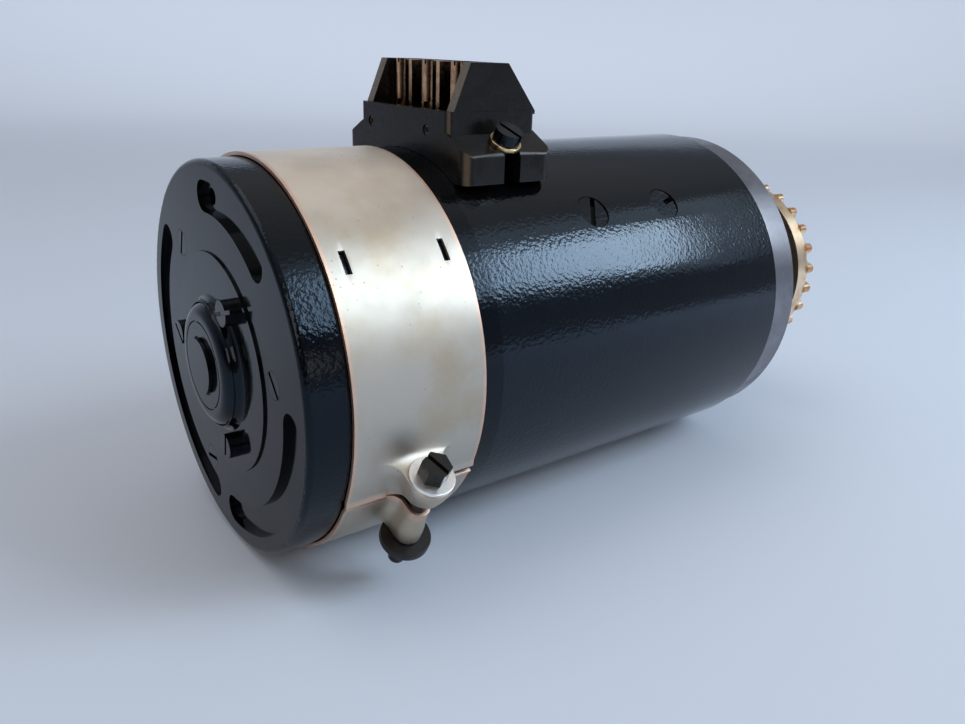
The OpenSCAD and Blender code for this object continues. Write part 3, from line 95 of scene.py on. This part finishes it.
class Shader:
    """A Principled material whose sockets take a value or the output of another node."""

    def __init__(self, name, **sockets):
        self.material = bpy.data.materials.new(name)
        self.material.use_nodes = True
        self.tree = self.material.node_tree
        self.bsdf = self.tree.nodes["Principled BSDF"]
        places = self.tree.nodes.new("ShaderNodeTexCoord").outputs
        self.coordinates = places["Object"]
        self.facing = places["Normal"]
        self.normal = None
        self.set(**sockets)

    def set(self, **sockets):
        for name, value in sockets.items():
            title = name.replace("_", " ").title().replace("Ior", "IOR")
            self.feed(self.bsdf.inputs[title], value)

    def feed(self, socket, value):
        if isinstance(value, bpy.types.NodeSocket):
            self.tree.links.new(value, socket)
        elif isinstance(value, (tuple, list)) and len(value) == 3 and socket.type == "RGBA":
            socket.default_value = (*value, 1)
        else:
            socket.default_value = value

    def add(self, kind, feeds, **settings):
        node = self.tree.nodes.new("ShaderNode" + kind)
        for name, value in settings.items():
            setattr(node, name, value)
        for key, value in feeds.items():
            self.feed(node.inputs[key], value)
        return node

    def math(self, operation, a, b=0.0):
        return self.add("Math", {0: a, 1: b}, operation=operation).outputs[0]

    def hypot(self, a, b):
        squares = self.math("ADD", self.math("MULTIPLY", a, a), self.math("MULTIPLY", b, b))
        return self.math("SQRT", squares)

    def split(self, source=None):
        return self.add("SeparateXYZ", {0: source or self.coordinates}).outputs

    def from_shaft(self):
        """Distance from the shaft's axis."""
        _, y, z = self.split()
        return self.hypot(y, z)

    def around(self, radius):
        """Coordinates along the shaft, round it at the given radius, and out from it."""
        x, y, z = self.split()
        turn = self.math("MULTIPLY", self.math("ARCTAN2", z, y), radius)
        return self.add("CombineXYZ", {0: x, 1: turn, 2: self.hypot(y, z)}).outputs[0]

    def noise(self, scale, detail, rough, source=None):
        feeds = {"Vector": source or self.coordinates, "Scale": scale, "Detail": detail,
                 "Roughness": rough}
        return self.add("TexNoise", feeds).outputs["Fac"]

    def lines(self, radius, along, across, out, detail=3):
        """Fine lines round the shaft, as a lathe or a brush leaves them."""
        feeds = {"Vector": self.around(radius), "Scale": (along, across, out)}
        return self.noise(1, detail, 0.6, source=self.add("Mapping", feeds).outputs[0])

    def remap(self, value, low, high, to_low=0.0, to_high=1.0):
        feeds = {"Value": value, "From Min": low, "From Max": high,
                 "To Min": to_low, "To Max": to_high}
        return self.add("MapRange", feeds, interpolation_type="SMOOTHSTEP").outputs["Result"]

    def specks(self, scale, core, edge, patch_scale, patch_low, patch_high):
        """Small round spots, in some patches only."""
        cells = self.add("TexVoronoi", {"Vector": self.coordinates, "Scale": scale})
        spot = self.remap(cells.outputs["Distance"], core, edge, 1.0, 0.0)
        patch = self.remap(self.noise(patch_scale, 2, 0.5), patch_low, patch_high)
        return self.math("MULTIPLY", spot, patch)

    def mix(self, factor, a, b):
        node = self.tree.nodes.new("ShaderNodeMix")
        node.data_type = "RGBA"
        self.feed(node.inputs["Factor"], factor)
        self.feed(node.inputs["A"], a)
        self.feed(node.inputs["B"], b)
        return node.outputs["Result"]

    def mottle(self, scale, light, dark, smooth, rough):
        """Patches of a lighter and a darker tone, and a roughness that varies in finer ones."""
        patch = self.remap(self.noise(scale, 5, 0.62), 0.38, 0.68)
        self.set(base_color=self.mix(patch, light, dark))
        finer = self.noise(scale * 2, 4, 0.6)
        self.set(roughness=self.remap(finer, 0.3, 0.75, smooth, rough))

    def bump(self, height, distance, strength):
        feeds = {"Height": height, "Distance": distance, "Strength": strength}
        if self.normal is not None:
            feeds["Normal"] = self.normal
        self.normal = self.add("Bump", feeds).outputs["Normal"]
        self.feed(self.bsdf.inputs["Normal"], self.normal)


def dress(shader, *names):
    for name in names:
        mesh = nodes[name].data
        mesh.materials.clear()
        mesh.materials.append(shader.material)


# Black enamel

CAP_FACE_R = 0.0530
CAP_RIM_R = 0.0560
YOKE_FRONT = (-0.060, 0.004)
YOKE_REAR = (0.016, 0.040)


def enamel(name, peel, roughness, peeled=None, level=0.42):
    """Glossy enamel; peel is the height of its orange peel and peeled says where it is."""
    black, dusty = (0.002, 0.002, 0.0025), (0.006, 0.0065, 0.008)
    # The blue specular tint is painted reflection colour: it turns every reflection blue, as
    # blue surroundings would.
    s = Shader(name, specular_ior_level=level, specular_tint=(0.56, 0.76, 1.0))
    dust = s.remap(s.noise(300, 6, 0.7), 0.55, 0.8, 0.0, 0.35)
    s.set(base_color=s.mix(dust, black, dusty))
    s.set(roughness=s.remap(s.noise(60, 4, 0.6), 0.3, 0.8, roughness * 0.7, roughness * 1.6))
    s.bump(s.noise(45, 2, 0.4), 0.0004, 0.2)
    skin = s.math("SUBTRACT", s.noise(900, 2, 0.45), 0.5)
    if peeled is not None:
        skin = s.math("MULTIPLY", skin, peeled(s))
    s.bump(skin, peel, 1.0)
    return s


def cap_rim(s):
    """Peel on the cap's rim and on its collar, none on its face."""
    return s.remap(s.from_shaft(), CAP_FACE_R, CAP_RIM_R, 0.05, 1.0)


def yoke_ends(s):
    """Peel strongest next to the band, fading along the yoke and returning at its rear."""
    x = s.split()[0]
    front = s.remap(x, *YOKE_FRONT, 1.0, 0.42)
    rear = s.remap(x, *YOKE_REAR, 0.0, 0.30)
    return s.math("ADD", front, rear)


def dress_enamel():
    cap = enamel("enamel_cap", 0.00009, 0.10, peeled=cap_rim, level=0.30)
    dress(cap, "commutator_end_bracket")
    yoke = enamel("enamel_yoke", 0.00011, 0.10, peeled=yoke_ends)
    dress(yoke, "yoke")
    cover = enamel("enamel_cover", 0.00002, 0.06, level=0.34)
    dress(cover, "bearing_cover")
    screws = enamel("enamel_screws", 0.00005, 0.16)
    dress(screws, "bearing_cover_screws", "brush_plate_screws", "pole_screws",
          "terminal_block_screws")


# Cover band and its clamp

HIGHLIGHT_CROWN_Z = (0.040, 0.056)
GAP_FRONT_Y = (-0.040, -0.046)
GAP_RISE = 0.0011
WORN_EDGE = (0.0004, 0.0013)
WORN_END = (0.0007, 0.0026)
MOST_WORN = 0.85


def band_wear(s):
    """How far the plating is worn through: at the long edges and at both ends of the sheet."""
    x, y, z = s.split()
    middle = (BAND_X + BAND_WIDTH / 2) / 1000
    off_middle = s.math("ABSOLUTE", s.math("SUBTRACT", x, middle))
    from_edge = s.math("SUBTRACT", BAND_WIDTH / 2000, off_middle)
    edges = s.remap(from_edge, *WORN_EDGE, MOST_WORN, 0.0)
    rise = s.math("SUBTRACT", s.math("MULTIPLY", z, -math.cos(CLAMP_ANGLE)),
                  s.math("MULTIPLY", y, -math.sin(CLAMP_ANGLE)))
    from_gap = s.math("ABSOLUTE", s.math("SUBTRACT", rise, GAP_RISE))
    ends = s.math("MULTIPLY", s.remap(y, *GAP_FRONT_Y),
                  s.remap(from_gap, *WORN_END, MOST_WORN, 0.0))
    uneven = s.remap(s.noise(160, 4, 0.6), 0.25, 0.6, 0.5, 1.0)
    return s.math("MULTIPLY", s.math("MAXIMUM", edges, ends), uneven)


def dress_band():
    nickel, tarnish = (0.545, 0.515, 0.46), (0.50, 0.43, 0.33)
    # Painted highlight: the band's crown, at its top, is painted a lighter tone, with warm
    # smudges over it.
    crown_highlight, crown_highlight_smudged = (1.0, 0.95, 0.88), (0.72, 0.63, 0.52)
    bare_copper, pitted = (0.78, 0.52, 0.40), (0.30, 0.22, 0.15)
    s = Shader("plated_band", metallic=1.0)
    smudge = s.noise(42, 5, 0.62)
    tone = s.mix(s.remap(smudge, 0.42, 0.68), nickel, tarnish)
    crown_highlight_and_smudge = s.mix(smudge, crown_highlight, crown_highlight_smudged)
    tone = s.mix(s.remap(s.split()[2], *HIGHLIGHT_CROWN_Z), tone, crown_highlight_and_smudge)
    tone = s.mix(band_wear(s), tone, bare_copper)
    pit = s.specks(520, 0.05, 0.16, 130, 0.50, 0.62)
    s.set(base_color=s.mix(pit, tone, pitted))
    s.set(roughness=s.remap(s.noise(70, 5, 0.6), 0.3, 0.75, 0.42, 0.54))
    s.bump(s.lines(BAND_R / 1000, 2600, 90, 400, detail=4), 0.00002, 0.35)
    s.bump(pit, 0.00006, -0.6)
    s.bump(s.noise(120, 3, 0.5), 0.00010, 0.35)
    dress(s, "cover_band")


def dress_clamp():
    zinc = Shader("zinc_washer", metallic=1.0)
    zinc.mottle(420, (0.94, 0.96, 0.97), (0.80, 0.81, 0.81), 0.28, 0.42)
    zinc.bump(zinc.noise(900, 3, 0.6), 0.00003, 0.5)
    dress(zinc, "clamp_washer")

    oxide = Shader("black_oxide", base_color=(0.006, 0.0055, 0.006), specular_ior_level=0.35)
    oxide.set(roughness=oxide.remap(oxide.noise(500, 4, 0.6), 0.3, 0.7, 0.28, 0.52))
    oxide.bump(oxide.noise(1500, 3, 0.6), 0.00005, 0.6)
    dress(oxide, "clamp_bolt", "clamp_nut")


# Terminal block

RIVET_Y = 0.0156
RIVET_MIDDLE = 0.0024
RIVET_Z = 0.0633
RIVET_HOLE_R = (0.0008, 0.0010)


def dress_bakelite():
    moulded, dusty = (0.005, 0.0045, 0.0045), (0.20, 0.17, 0.14)
    # Painted highlight: the cheeks' front slopes, facing forward and up, are painted a lighter
    # tone.
    slope_highlight_light, slope_highlight_dark = (0.20, 0.17, 0.135), (0.12, 0.10, 0.08)
    # Painted highlight: the rounded front corners, chosen by the way they face, are painted a
    # lighter, warmer tone.
    corner_highlight = (0.13, 0.095, 0.055)
    s = Shader("bakelite", specular_ior_level=0.28)
    facing_x, facing_y, facing_z = s.split(s.facing)
    slope = s.math("MULTIPLY", s.remap(facing_x, -0.60, -0.75), s.remap(facing_z, 0.12, 0.24))
    corner = s.math("MULTIPLY", s.remap(facing_x, -0.35, -0.65),
                    s.remap(facing_y, -0.35, -0.65))
    # Painted highlight tone for the front slopes.
    slope_highlight = s.mix(s.noise(300, 4, 0.6), slope_highlight_light, slope_highlight_dark)
    skin = s.mix(slope, moulded, slope_highlight)
    # Painted highlight on the rounded front corners.
    skin = s.mix(s.math("MULTIPLY", corner, 0.8), skin, corner_highlight)
    dust = s.specks(900, 0.02, 0.09, 140, 0.55, 0.66)
    s.set(base_color=s.mix(dust, skin, dusty))
    s.set(roughness=s.remap(s.noise(110, 5, 0.6), 0.3, 0.75, 0.22, 0.36))
    s.bump(s.noise(260, 4, 0.55), 0.00012, 0.4)
    dress(s, "terminal_block")


def dress_terminals():
    """Brass that is bright on its front edges, with painted shade darkening its flanks."""
    bright, aged, flank_shade_tone = (0.80, 0.50, 0.30), (0.46, 0.25, 0.14), (0.035, 0.02, 0.014)
    s = Shader("terminal_brass", metallic=1.0)
    worn = s.mix(s.remap(s.noise(260, 5, 0.65), 0.38, 0.70), bright, aged)
    # Painted shade: faces turned sideways are darkened.
    sideways = s.math("ABSOLUTE", s.split(s.facing)[1])
    flank_shade = s.remap(sideways, 0.5, 0.8, 0.0, 0.94)
    s.set(base_color=s.mix(flank_shade, worn, flank_shade_tone))
    s.set(roughness=s.remap(s.noise(500, 4, 0.6), 0.3, 0.7, 0.20, 0.42))
    s.bump(s.noise(900, 3, 0.6), 0.00004, 0.5)
    dress(s, "terminals", "terminal_screws")


def dress_rivets():
    """A brass ring round the dark centre of each tubular rivet; the dark centre is painted
    shade for its bore.
    """
    bore_shade, light, dark = (0.01, 0.008, 0.007), (0.34, 0.19, 0.11), (0.16, 0.08, 0.05)
    s = Shader("rivet_brass", metallic=1.0, roughness=0.42)
    _, y, z = s.split()
    off_middle = s.math("ABSOLUTE", s.math("SUBTRACT", y, RIVET_MIDDLE))
    from_centre = s.hypot(s.math("SUBTRACT", off_middle, RIVET_Y),
                          s.math("SUBTRACT", z, RIVET_Z))
    stain = s.mix(s.remap(s.noise(700, 4, 0.6), 0.4, 0.6), light, dark)
    s.set(base_color=s.mix(s.remap(from_centre, *RIVET_HOLE_R), bore_shade, stain))
    dress(s, "terminal_block_rivets")


def dress_block():
    dress_bakelite()
    dress_terminals()
    dress_rivets()
    gold = Shader("bright_brass", metallic=1.0)
    gold.mottle(500, (0.88, 0.68, 0.38), (0.68, 0.48, 0.25), 0.18, 0.30)
    gold.bump(gold.noise(1200, 3, 0.6), 0.00003, 0.4)
    dress(gold, "terminal_block_washers")


# Drive end

BRACKET_R = 0.0556
GEAR_R = 0.036
SHOULDER_R = 0.0355


def dress_drive_end():
    light, dark = (0.25, 0.25, 0.275), (0.19, 0.19, 0.21)
    steel = Shader("turned_steel", metallic=1.0)
    patch = steel.remap(steel.noise(60, 5, 0.6), 0.35, 0.7)
    steel.set(base_color=steel.mix(patch, light, dark))
    steel.set(roughness=steel.remap(steel.noise(120, 4, 0.6), 0.3, 0.75, 0.28, 0.46))
    steel.bump(steel.lines(BRACKET_R, 5200, 12, 5200), 0.00003, 0.4)
    dress(steel, "drive_end_bracket")


def dress_gear():
    """Bronze with a bright plain shoulder and browner teeth."""
    shoulder_light, shoulder_dark = (0.90, 0.70, 0.48), (0.72, 0.48, 0.28)
    tooth_light, tooth_dark = (0.74, 0.42, 0.22), (0.46, 0.22, 0.10)
    s = Shader("gear_bronze", metallic=1.0, roughness=0.28)
    stain = s.remap(s.noise(180, 5, 0.65), 0.40, 0.70)
    past_shoulder = s.remap(s.from_shaft(), SHOULDER_R + 0.0001, SHOULDER_R + 0.0006)
    shoulder = s.mix(stain, shoulder_light, shoulder_dark)
    teeth = s.mix(stain, tooth_light, tooth_dark)
    s.set(base_color=s.mix(past_shoulder, shoulder, teeth))
    s.bump(s.lines(GEAR_R, 4200, 40, 400), 0.00003, 0.4)
    dress(s, "drive_gear")


# Shafts, bearings, brush gear and windings

COMMUTATOR_R = 0.02
SHAFT_R = 0.01


def dress_inside():
    dark = Shader("dark_steel", metallic=1.0)
    dark.mottle(240, (0.115, 0.115, 0.12), (0.070, 0.066, 0.064), 0.32, 0.55)
    dark.bump(dark.noise(900, 3, 0.6), 0.00004, 0.5)
    dress(dark, "gear_hub", "gear_rivets", "gear_lock_washer", "gear_nut", "gear_key",
          "pole_shoes", "through_bolts", "bearing_retainer", "armature_core")

    bright = Shader("bright_steel", metallic=1.0)
    bright.mottle(240, (0.58, 0.58, 0.59), (0.44, 0.43, 0.42), 0.18, 0.32)
    bright.bump(bright.lines(SHAFT_R, 4200, 12, 4200), 0.00002, 0.4)
    dress(bright, "armature_shaft", "front_bearing_outer_race", "front_bearing_balls",
          "front_bearing_inner_race", "rear_bearing_outer_race", "rear_bearing_balls",
          "rear_bearing_inner_race", "spring_post_a", "spring_post_b", "brush_spring_a",
          "brush_spring_b")

    copper = Shader("commutator_copper", metallic=1.0)
    copper.mottle(260, (0.66, 0.30, 0.15), (0.40, 0.16, 0.09), 0.24, 0.42)
    copper.bump(copper.lines(COMMUTATOR_R, 4200, 12, 4200), 0.00002, 0.5)
    dress(copper, "commutator", "brush_box_a", "brush_box_b")

    coil = Shader("varnished_winding")
    coil.mottle(180, (0.25, 0.085, 0.03), (0.13, 0.04, 0.016), 0.26, 0.46)
    coil.bump(coil.noise(700, 4, 0.6), 0.0002, 0.6)
    dress(coil, "armature_windings", "field_coils")

    carbon = Shader("carbon")
    carbon.mottle(600, (0.030, 0.030, 0.032), (0.016, 0.016, 0.017), 0.48, 0.62)
    carbon.bump(carbon.noise(1500, 4, 0.6), 0.00005, 0.6)
    dress(carbon, "brush_a", "brush_b")

    fibre = Shader("fibre_board")
    fibre.mottle(320, (0.18, 0.085, 0.04), (0.11, 0.05, 0.024), 0.52, 0.70)
    fibre.bump(fibre.noise(900, 5, 0.6), 0.0001, 0.6)
    dress(fibre, "brush_plate", "commutator_sleeve", "felt_seal")


# Cover band: a sheet whose ends are pressed out over the clamp bolt. Lengths are in
# millimetres. A row runs along the shaft at one place s on the arc round the band, which
# starts at the clamp; lx is along the shaft from the bolt and ly is out from the sheet.

BAND_X = -126.1
BAND_WIDTH = 39.7
BAND_R = 57.6
BAND_GIRTH = math.tau * BAND_R
BAND_SHEET = 1.0
BAND_EDGE_ROUND = 0.4
LIP_HEIGHT = 0.55
LIP_WIDTH = 1.3
BOLT_LX = 18.6
BOLT_LY = 6.3
CLAMP_ANGLE = math.radians(208)
UPPER_LUG = 13.6
LOWER_LUG = 10.6
LUG_REACH = 10.6
LUG_COLUMNS = 56
LUG_R, UPPER_LUG_R, LOWER_LUG_R = 3.2, 6.3, 3.9
FLARE_R, UPPER_FLARE_R = 3.5, 5.2
UPPER_MOUTH, UPPER_BOW, UPPER_SKEW = 1.3, 6.2, 1.7
LOWER_MOUTH, LOWER_BOW = 0.85, 1.1
SIDE_STEPS = (0, 0.15, 0.45, 0.9, 1.8, 2.8, 3.8, 4.65, 5.6, 6.55, 7.4, 8.2, 9.0, 9.8)
SLOT_X = (4.65, 6.55)
SLOT_S = (CLAMP_ANGLE - math.radians(140.6)) * BAND_R
SLOT_LENGTH = 6.4
UPPER_ROWS = 22
LOWER_ROWS = 20
ROWS_TO_SLOT = 13
ROWS_PAST_SLOT = 76
ROW_CROWDING = 1.15
UPPER_WALL = ((0.995, 14.0), (0.97, 14.3), (0.88, 14.45), (0.68, 14.5), (0.45, 14.55),
              (0.26, 14.7), (0.12, 15.1), (0.04, 15.7), (0.0, 16.6))
LOWER_WALL = ((0.0, 13.2), (0.05, 12.4), (0.16, 11.9), (0.4, 11.6), (0.7, 11.45),
              (0.92, 11.35), (0.995, 11.0))


def ease(low, high, value):
    t = min(1.0, max(0.0, (value - low) / (high - low)))
    return t * t * (3 - 2 * t)


def lerp(a, b, t):
    return a + (b - a) * t


def omega(travel, radius, flare, foot):
    """Point of a lug's section at a share of its length.

    The sheet flares out of the band, rises, bends round the crest and comes down again.
    """
    side = BOLT_LY - foot - flare
    quarter = math.pi * flare / 2
    half = quarter + side + math.pi * radius / 2
    mirrored = travel > 0.5
    run = (1 - travel if mirrored else travel) * 2 * half
    if run < quarter:
        turn = run / flare
        lx = -radius - flare + flare * math.sin(turn)
        ly = foot + flare * (1 - math.cos(turn))
    elif run < quarter + side:
        lx, ly = -radius, foot + flare + run - quarter
    else:
        turn = (run - quarter - side) / radius
        lx, ly = -radius * math.cos(turn), BOLT_LY + radius * math.sin(turn)
    return (-lx if mirrored else lx), ly


def band_rows():
    """Kind, place and lift of each row, from the band's upper end round to its lower end.

    The place is an arc position, or a share of the lug's length on the rows of a lug, and
    the lift is how far the lug is pressed out there.
    """
    upper = [("upper", k / UPPER_ROWS, 1.0) for k in range(UPPER_ROWS + 1)]
    upper += [("wall", s, lift) for lift, s in UPPER_WALL]
    slot_start, slot_end = SLOT_S - SLOT_LENGTH / 2, SLOT_S + SLOT_LENGTH / 2
    plain = [18.0, 20.0, 22.5, 25.0]
    plain += [lerp(25.0, slot_start, k / ROWS_TO_SLOT) for k in range(1, ROWS_TO_SLOT + 1)]
    plain += [SLOT_S, slot_end]
    plain += [lerp(slot_end, BAND_GIRTH - 22.0, k / ROWS_PAST_SLOT)
              for k in range(1, ROWS_PAST_SLOT + 1)]
    plain += [BAND_GIRTH - 19.0, BAND_GIRTH - 16.0]
    lower = [("wall", BAND_GIRTH - s, lift) for lift, s in LOWER_WALL]
    lower += [("lower", k / LOWER_ROWS, 1.0) for k in range(LOWER_ROWS + 1)]
    return upper + [("plain", s, 0.0) for s in plain] + lower


def across_row(column, foot_lx, travel):
    """Where a column lies along the shaft: next to the lug, and far from it."""
    side_count = len(SIDE_STEPS)
    across = BAND_WIDTH - BOLT_LX
    if column < side_count:
        step = SIDE_STEPS[column]
        return lerp(-BOLT_LX, -foot_lx, step / LUG_REACH), step - BOLT_LX
    if column > side_count + LUG_COLUMNS:
        step = SIDE_STEPS[2 * side_count + LUG_COLUMNS - column]
        return lerp(across, foot_lx, step / LUG_REACH), across - step
    near_lx = lerp(-foot_lx, foot_lx, travel)
    return near_lx, lerp(LUG_REACH, BAND_WIDTH - LUG_REACH, travel) - BOLT_LX


def band_point(row, column):
    """A point of the sheet's outer face, in metres.

    On the lug the upper end bows back further than the lower end reaches after it, which
    leaves a lens-shaped mouth round the bolt. Each end turns out into a small lip.
    """
    kind, place, lift = row
    travel = min(1.0, max(0.0, (column - len(SIDE_STEPS)) / LUG_COLUMNS))
    crest = ease(0.0, 0.42, min(travel, 1 - travel))
    if kind == "upper":
        mouth = UPPER_MOUTH + UPPER_BOW * crest + UPPER_SKEW * ease(0.6, 1.0, travel)
        s = lerp(mouth, UPPER_LUG, place ** ROW_CROWDING)
        from_end = s - mouth
    elif kind == "lower":
        mouth = BAND_GIRTH + LOWER_MOUTH + LOWER_BOW * crest
        s = lerp(BAND_GIRTH - LOWER_LUG, mouth, 1 - (1 - place) ** ROW_CROWDING)
        from_end = mouth - s
    else:
        s = place
        from_end = math.inf
    near = s if s < BAND_GIRTH / 2 else s - BAND_GIRTH
    foot = BAND_R * (math.cos(near / BAND_R) - 1)
    if near > 0:
        radius = lerp(LUG_R, UPPER_LUG_R, ease(1.0, 14.0, near))
    else:
        radius = lerp(LUG_R, LOWER_LUG_R, ease(0, 8, -near))
    flare = lerp(FLARE_R, UPPER_FLARE_R, ease(6.0, 14.0, near))
    lx, far_lx = across_row(column, radius + flare, travel)
    lx = lerp(lx, far_lx, ease(16, 25, abs(near)))
    lip_r = BAND_R + LIP_HEIGHT * math.exp(-(from_end / LIP_WIDTH) ** 2)
    ly = lip_r * math.cos(near / BAND_R) - BAND_R
    lz = lip_r * math.sin(near / BAND_R)
    if lift and 0 < travel < 1:
        lug_lx, lug_ly = omega(travel, radius, flare, foot)
        lx, ly = lerp(lx, lug_lx, lift), lerp(ly, lug_ly, lift)
    out_y, out_z = math.cos(CLAMP_ANGLE), math.sin(CLAMP_ANGLE)
    reach = BAND_R + ly
    return ((BAND_X + BOLT_LX + lx) / 1000,
            (out_y * reach + out_z * lz) / 1000,
            (out_z * reach - out_y * lz) / 1000)


def mesh_object(name, bm):
    mesh = bpy.data.meshes.new(name)
    bm.to_mesh(mesh)
    bm.free()
    for face in mesh.polygons:
        face.use_smooth = True
    piece = bpy.data.objects.new(name, mesh)
    scene.collection.objects.link(piece)
    return piece


def make_band():
    bm = bmesh.new()
    rows = band_rows()
    columns = 2 * len(SIDE_STEPS) + LUG_COLUMNS + 1
    grid = [[bm.verts.new(band_point(row, column)) for column in range(columns)]
            for row in rows]
    slot_columns = list(range(*(SIDE_STEPS.index(x) for x in SLOT_X)))
    slot_columns += [columns - 2 - k for k in slot_columns]
    for j in range(len(rows) - 1):
        plain = rows[j][0] == rows[j + 1][0] == "plain"
        middle = (rows[j][1] + rows[j + 1][1]) / 2
        in_slot = plain and abs(middle - SLOT_S) < SLOT_LENGTH / 2
        for i in range(columns - 1):
            if not (in_slot and i in slot_columns):
                bm.faces.new((grid[j][i], grid[j][i + 1],
                              grid[j + 1][i + 1], grid[j + 1][i]))
    bmesh.ops.recalc_face_normals(bm, faces=bm.faces)
    piece = mesh_object("pressed_cover_band", bm)
    sheet = piece.modifiers.new("sheet", "SOLIDIFY")
    sheet.thickness = BAND_SHEET / 1000
    sheet.offset = -1.0
    sheet.use_even_offset = True
    rounding = piece.modifiers.new("rounding", "BEVEL")
    rounding.width = BAND_EDGE_ROUND / 1000
    rounding.segments = 3
    rounding.limit_method = "ANGLE"
    rounding.angle_limit = math.radians(50)
    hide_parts("cover_band")
    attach(piece, "band")
    piece.data.materials.append(nodes["cover_band"].data.materials[0])


# Floor and world. The paper is painted darker in front of the part, as painted shade, and glows
# behind it, as painted light for camera, mirror and transmission rays.

FLOOR_Z = -0.0577
FLOOR_COLOR = (0.64, 0.72, 0.85)
FRONT_SHADE_COLOR = (0.13, 0.15, 0.19)
FLAT_R = 1.5
BEND_R = 1.4
BEND_ANGLE = math.radians(80)
BEND_STEPS = 16
WALL_TOP = (0.07, 0.4)
FLOOR_SIDES = 96
AWAY_X, AWAY_Y = 0.61, 0.79
FRONT_DEPTHS = (-2.2, -0.9)
GLOW_DEPTHS = (0.4, 2.2)
GLOW = 0.45


def make_floor():
    """A round sweep: a flat floor that rises all round into a low curved wall."""
    profile = [(FLAT_R / 2, FLOOR_Z), (FLAT_R, FLOOR_Z)]
    for i in range(1, BEND_STEPS + 1):
        turn = BEND_ANGLE * i / BEND_STEPS
        profile.append((FLAT_R + BEND_R * math.sin(turn),
                        FLOOR_Z + BEND_R * (1 - math.cos(turn))))
    profile.append((profile[-1][0] + WALL_TOP[0], profile[-1][1] + WALL_TOP[1]))
    bm = bmesh.new()
    centre = bm.verts.new((0, 0, FLOOR_Z))
    turns = [k * math.tau / FLOOR_SIDES for k in range(FLOOR_SIDES)]
    inner = None
    for radius, height in profile:
        ring = [bm.verts.new((radius * math.cos(turn), radius * math.sin(turn), height))
                for turn in turns]
        for k in range(FLOOR_SIDES):
            following = (k + 1) % FLOOR_SIDES
            if inner is None:
                bm.faces.new((centre, ring[k], ring[following]))
            else:
                bm.faces.new((inner[k], ring[k], ring[following], inner[following]))
        inner = ring
    floor = mesh_object("floor", bm)

    s = Shader("floor_paper", roughness=0.75, specular_ior_level=0.1,
               emission_color=FLOOR_COLOR)
    x, y, _ = s.split()
    depth = s.math("ADD", s.math("MULTIPLY", x, AWAY_X), s.math("MULTIPLY", y, AWAY_Y))
    # Painted shade: the paper's colour darkens towards the front.
    s.set(base_color=s.mix(s.remap(depth, *FRONT_DEPTHS), FRONT_SHADE_COLOR, FLOOR_COLOR))
    path = s.tree.nodes.new("ShaderNodeLightPath").outputs
    mirrored = s.math("MAXIMUM", path["Is Glossy Ray"], path["Is Transmission Ray"])
    seen = s.math("MAXIMUM", path["Is Camera Ray"], mirrored)
    # Painted light: the paper glows further behind the part, seen by camera, mirror and
    # transmission rays.
    glow = s.remap(depth, *GLOW_DEPTHS, 0.0, GLOW)
    s.set(emission_strength=s.math("MULTIPLY", seen, glow))
    floor.data.materials.append(s.material)


def make_world():
    """A soft studio, cool at the horizon and warm overhead."""
    world = bpy.data.worlds.new("studio")
    scene.world = world
    world.use_nodes = True
    tree = world.node_tree
    background = tree.nodes["Background"]
    direction = tree.nodes.new("ShaderNodeTexCoord").outputs["Generated"]
    split = tree.nodes.new("ShaderNodeSeparateXYZ")
    ramp = tree.nodes.new("ShaderNodeValToRGB")
    low, high = ramp.color_ramp.elements
    low.position, low.color = 0.55, (0.20, 0.23, 0.27, 1)
    high.position, high.color = 0.92, (0.62, 0.57, 0.53, 1)
    tree.links.new(direction, split.inputs[0])
    tree.links.new(split.outputs["Z"], ramp.inputs["Fac"])
    tree.links.new(ramp.outputs["Color"], background.inputs["Color"])
    background.inputs["Strength"].default_value = 1.0


# Lights: name, direction from the part, distance, width and height, radiance and colour

LIGHTS = (
    ("window", (0.52, -0.56, 0.64), 1.3, (1.15, 0.85), 0.8, (0.74, 0.88, 1.0)),
    ("window_core", (0.645, -0.56, 0.53), 1.25, (0.34, 0.46), 9.9, (0.78, 0.90, 1.0)),
    ("rim_core", (0.375, -0.67, 0.635), 1.3, (0.18, 0.66), 7.0, (0.78, 0.90, 1.0)),
    ("overhead", (-0.35, 0.25, 0.92), 1.6, (1.3, 1.0), 1.0, (1.0, 0.93, 0.86)),
    ("fill", (-0.62, -0.66, 0.42), 2.2, (1.2, 0.8), 2.2, (1.0, 0.86, 0.68)),
    ("card", (0.20, -0.95, 0.17), 1.7, (0.45, 0.34), 1.5, (1.0, 0.78, 0.62)),
)


def area_light(name, towards, distance, size, radiance, color):
    """Faces the part from a direction, with its width along the shaft."""
    data = bpy.data.lights.new(name, "AREA")
    data.shape = "RECTANGLE"
    data.size, data.size_y = size
    data.energy = math.pi * radiance * size[0] * size[1]
    data.color = color
    light = bpy.data.objects.new(name, data)
    scene.collection.objects.link(light)
    back = Vector(towards).normalized()
    across = (Vector((1, 0, 0)) - back.x * back).normalized()
    turn = Matrix((across, back.cross(across), back)).transposed()
    light.matrix_world = Matrix.Translation(distance * back) @ turn.to_4x4()


make_camera()
break_edges()
dress_enamel()
dress_band()
dress_clamp()
dress_block()
dress_drive_end()
dress_gear()
dress_inside()
make_band()
make_floor()
make_world()
for light in LIGHTS:
    area_light(*light)

scene.view_settings.view_transform = "Standard"
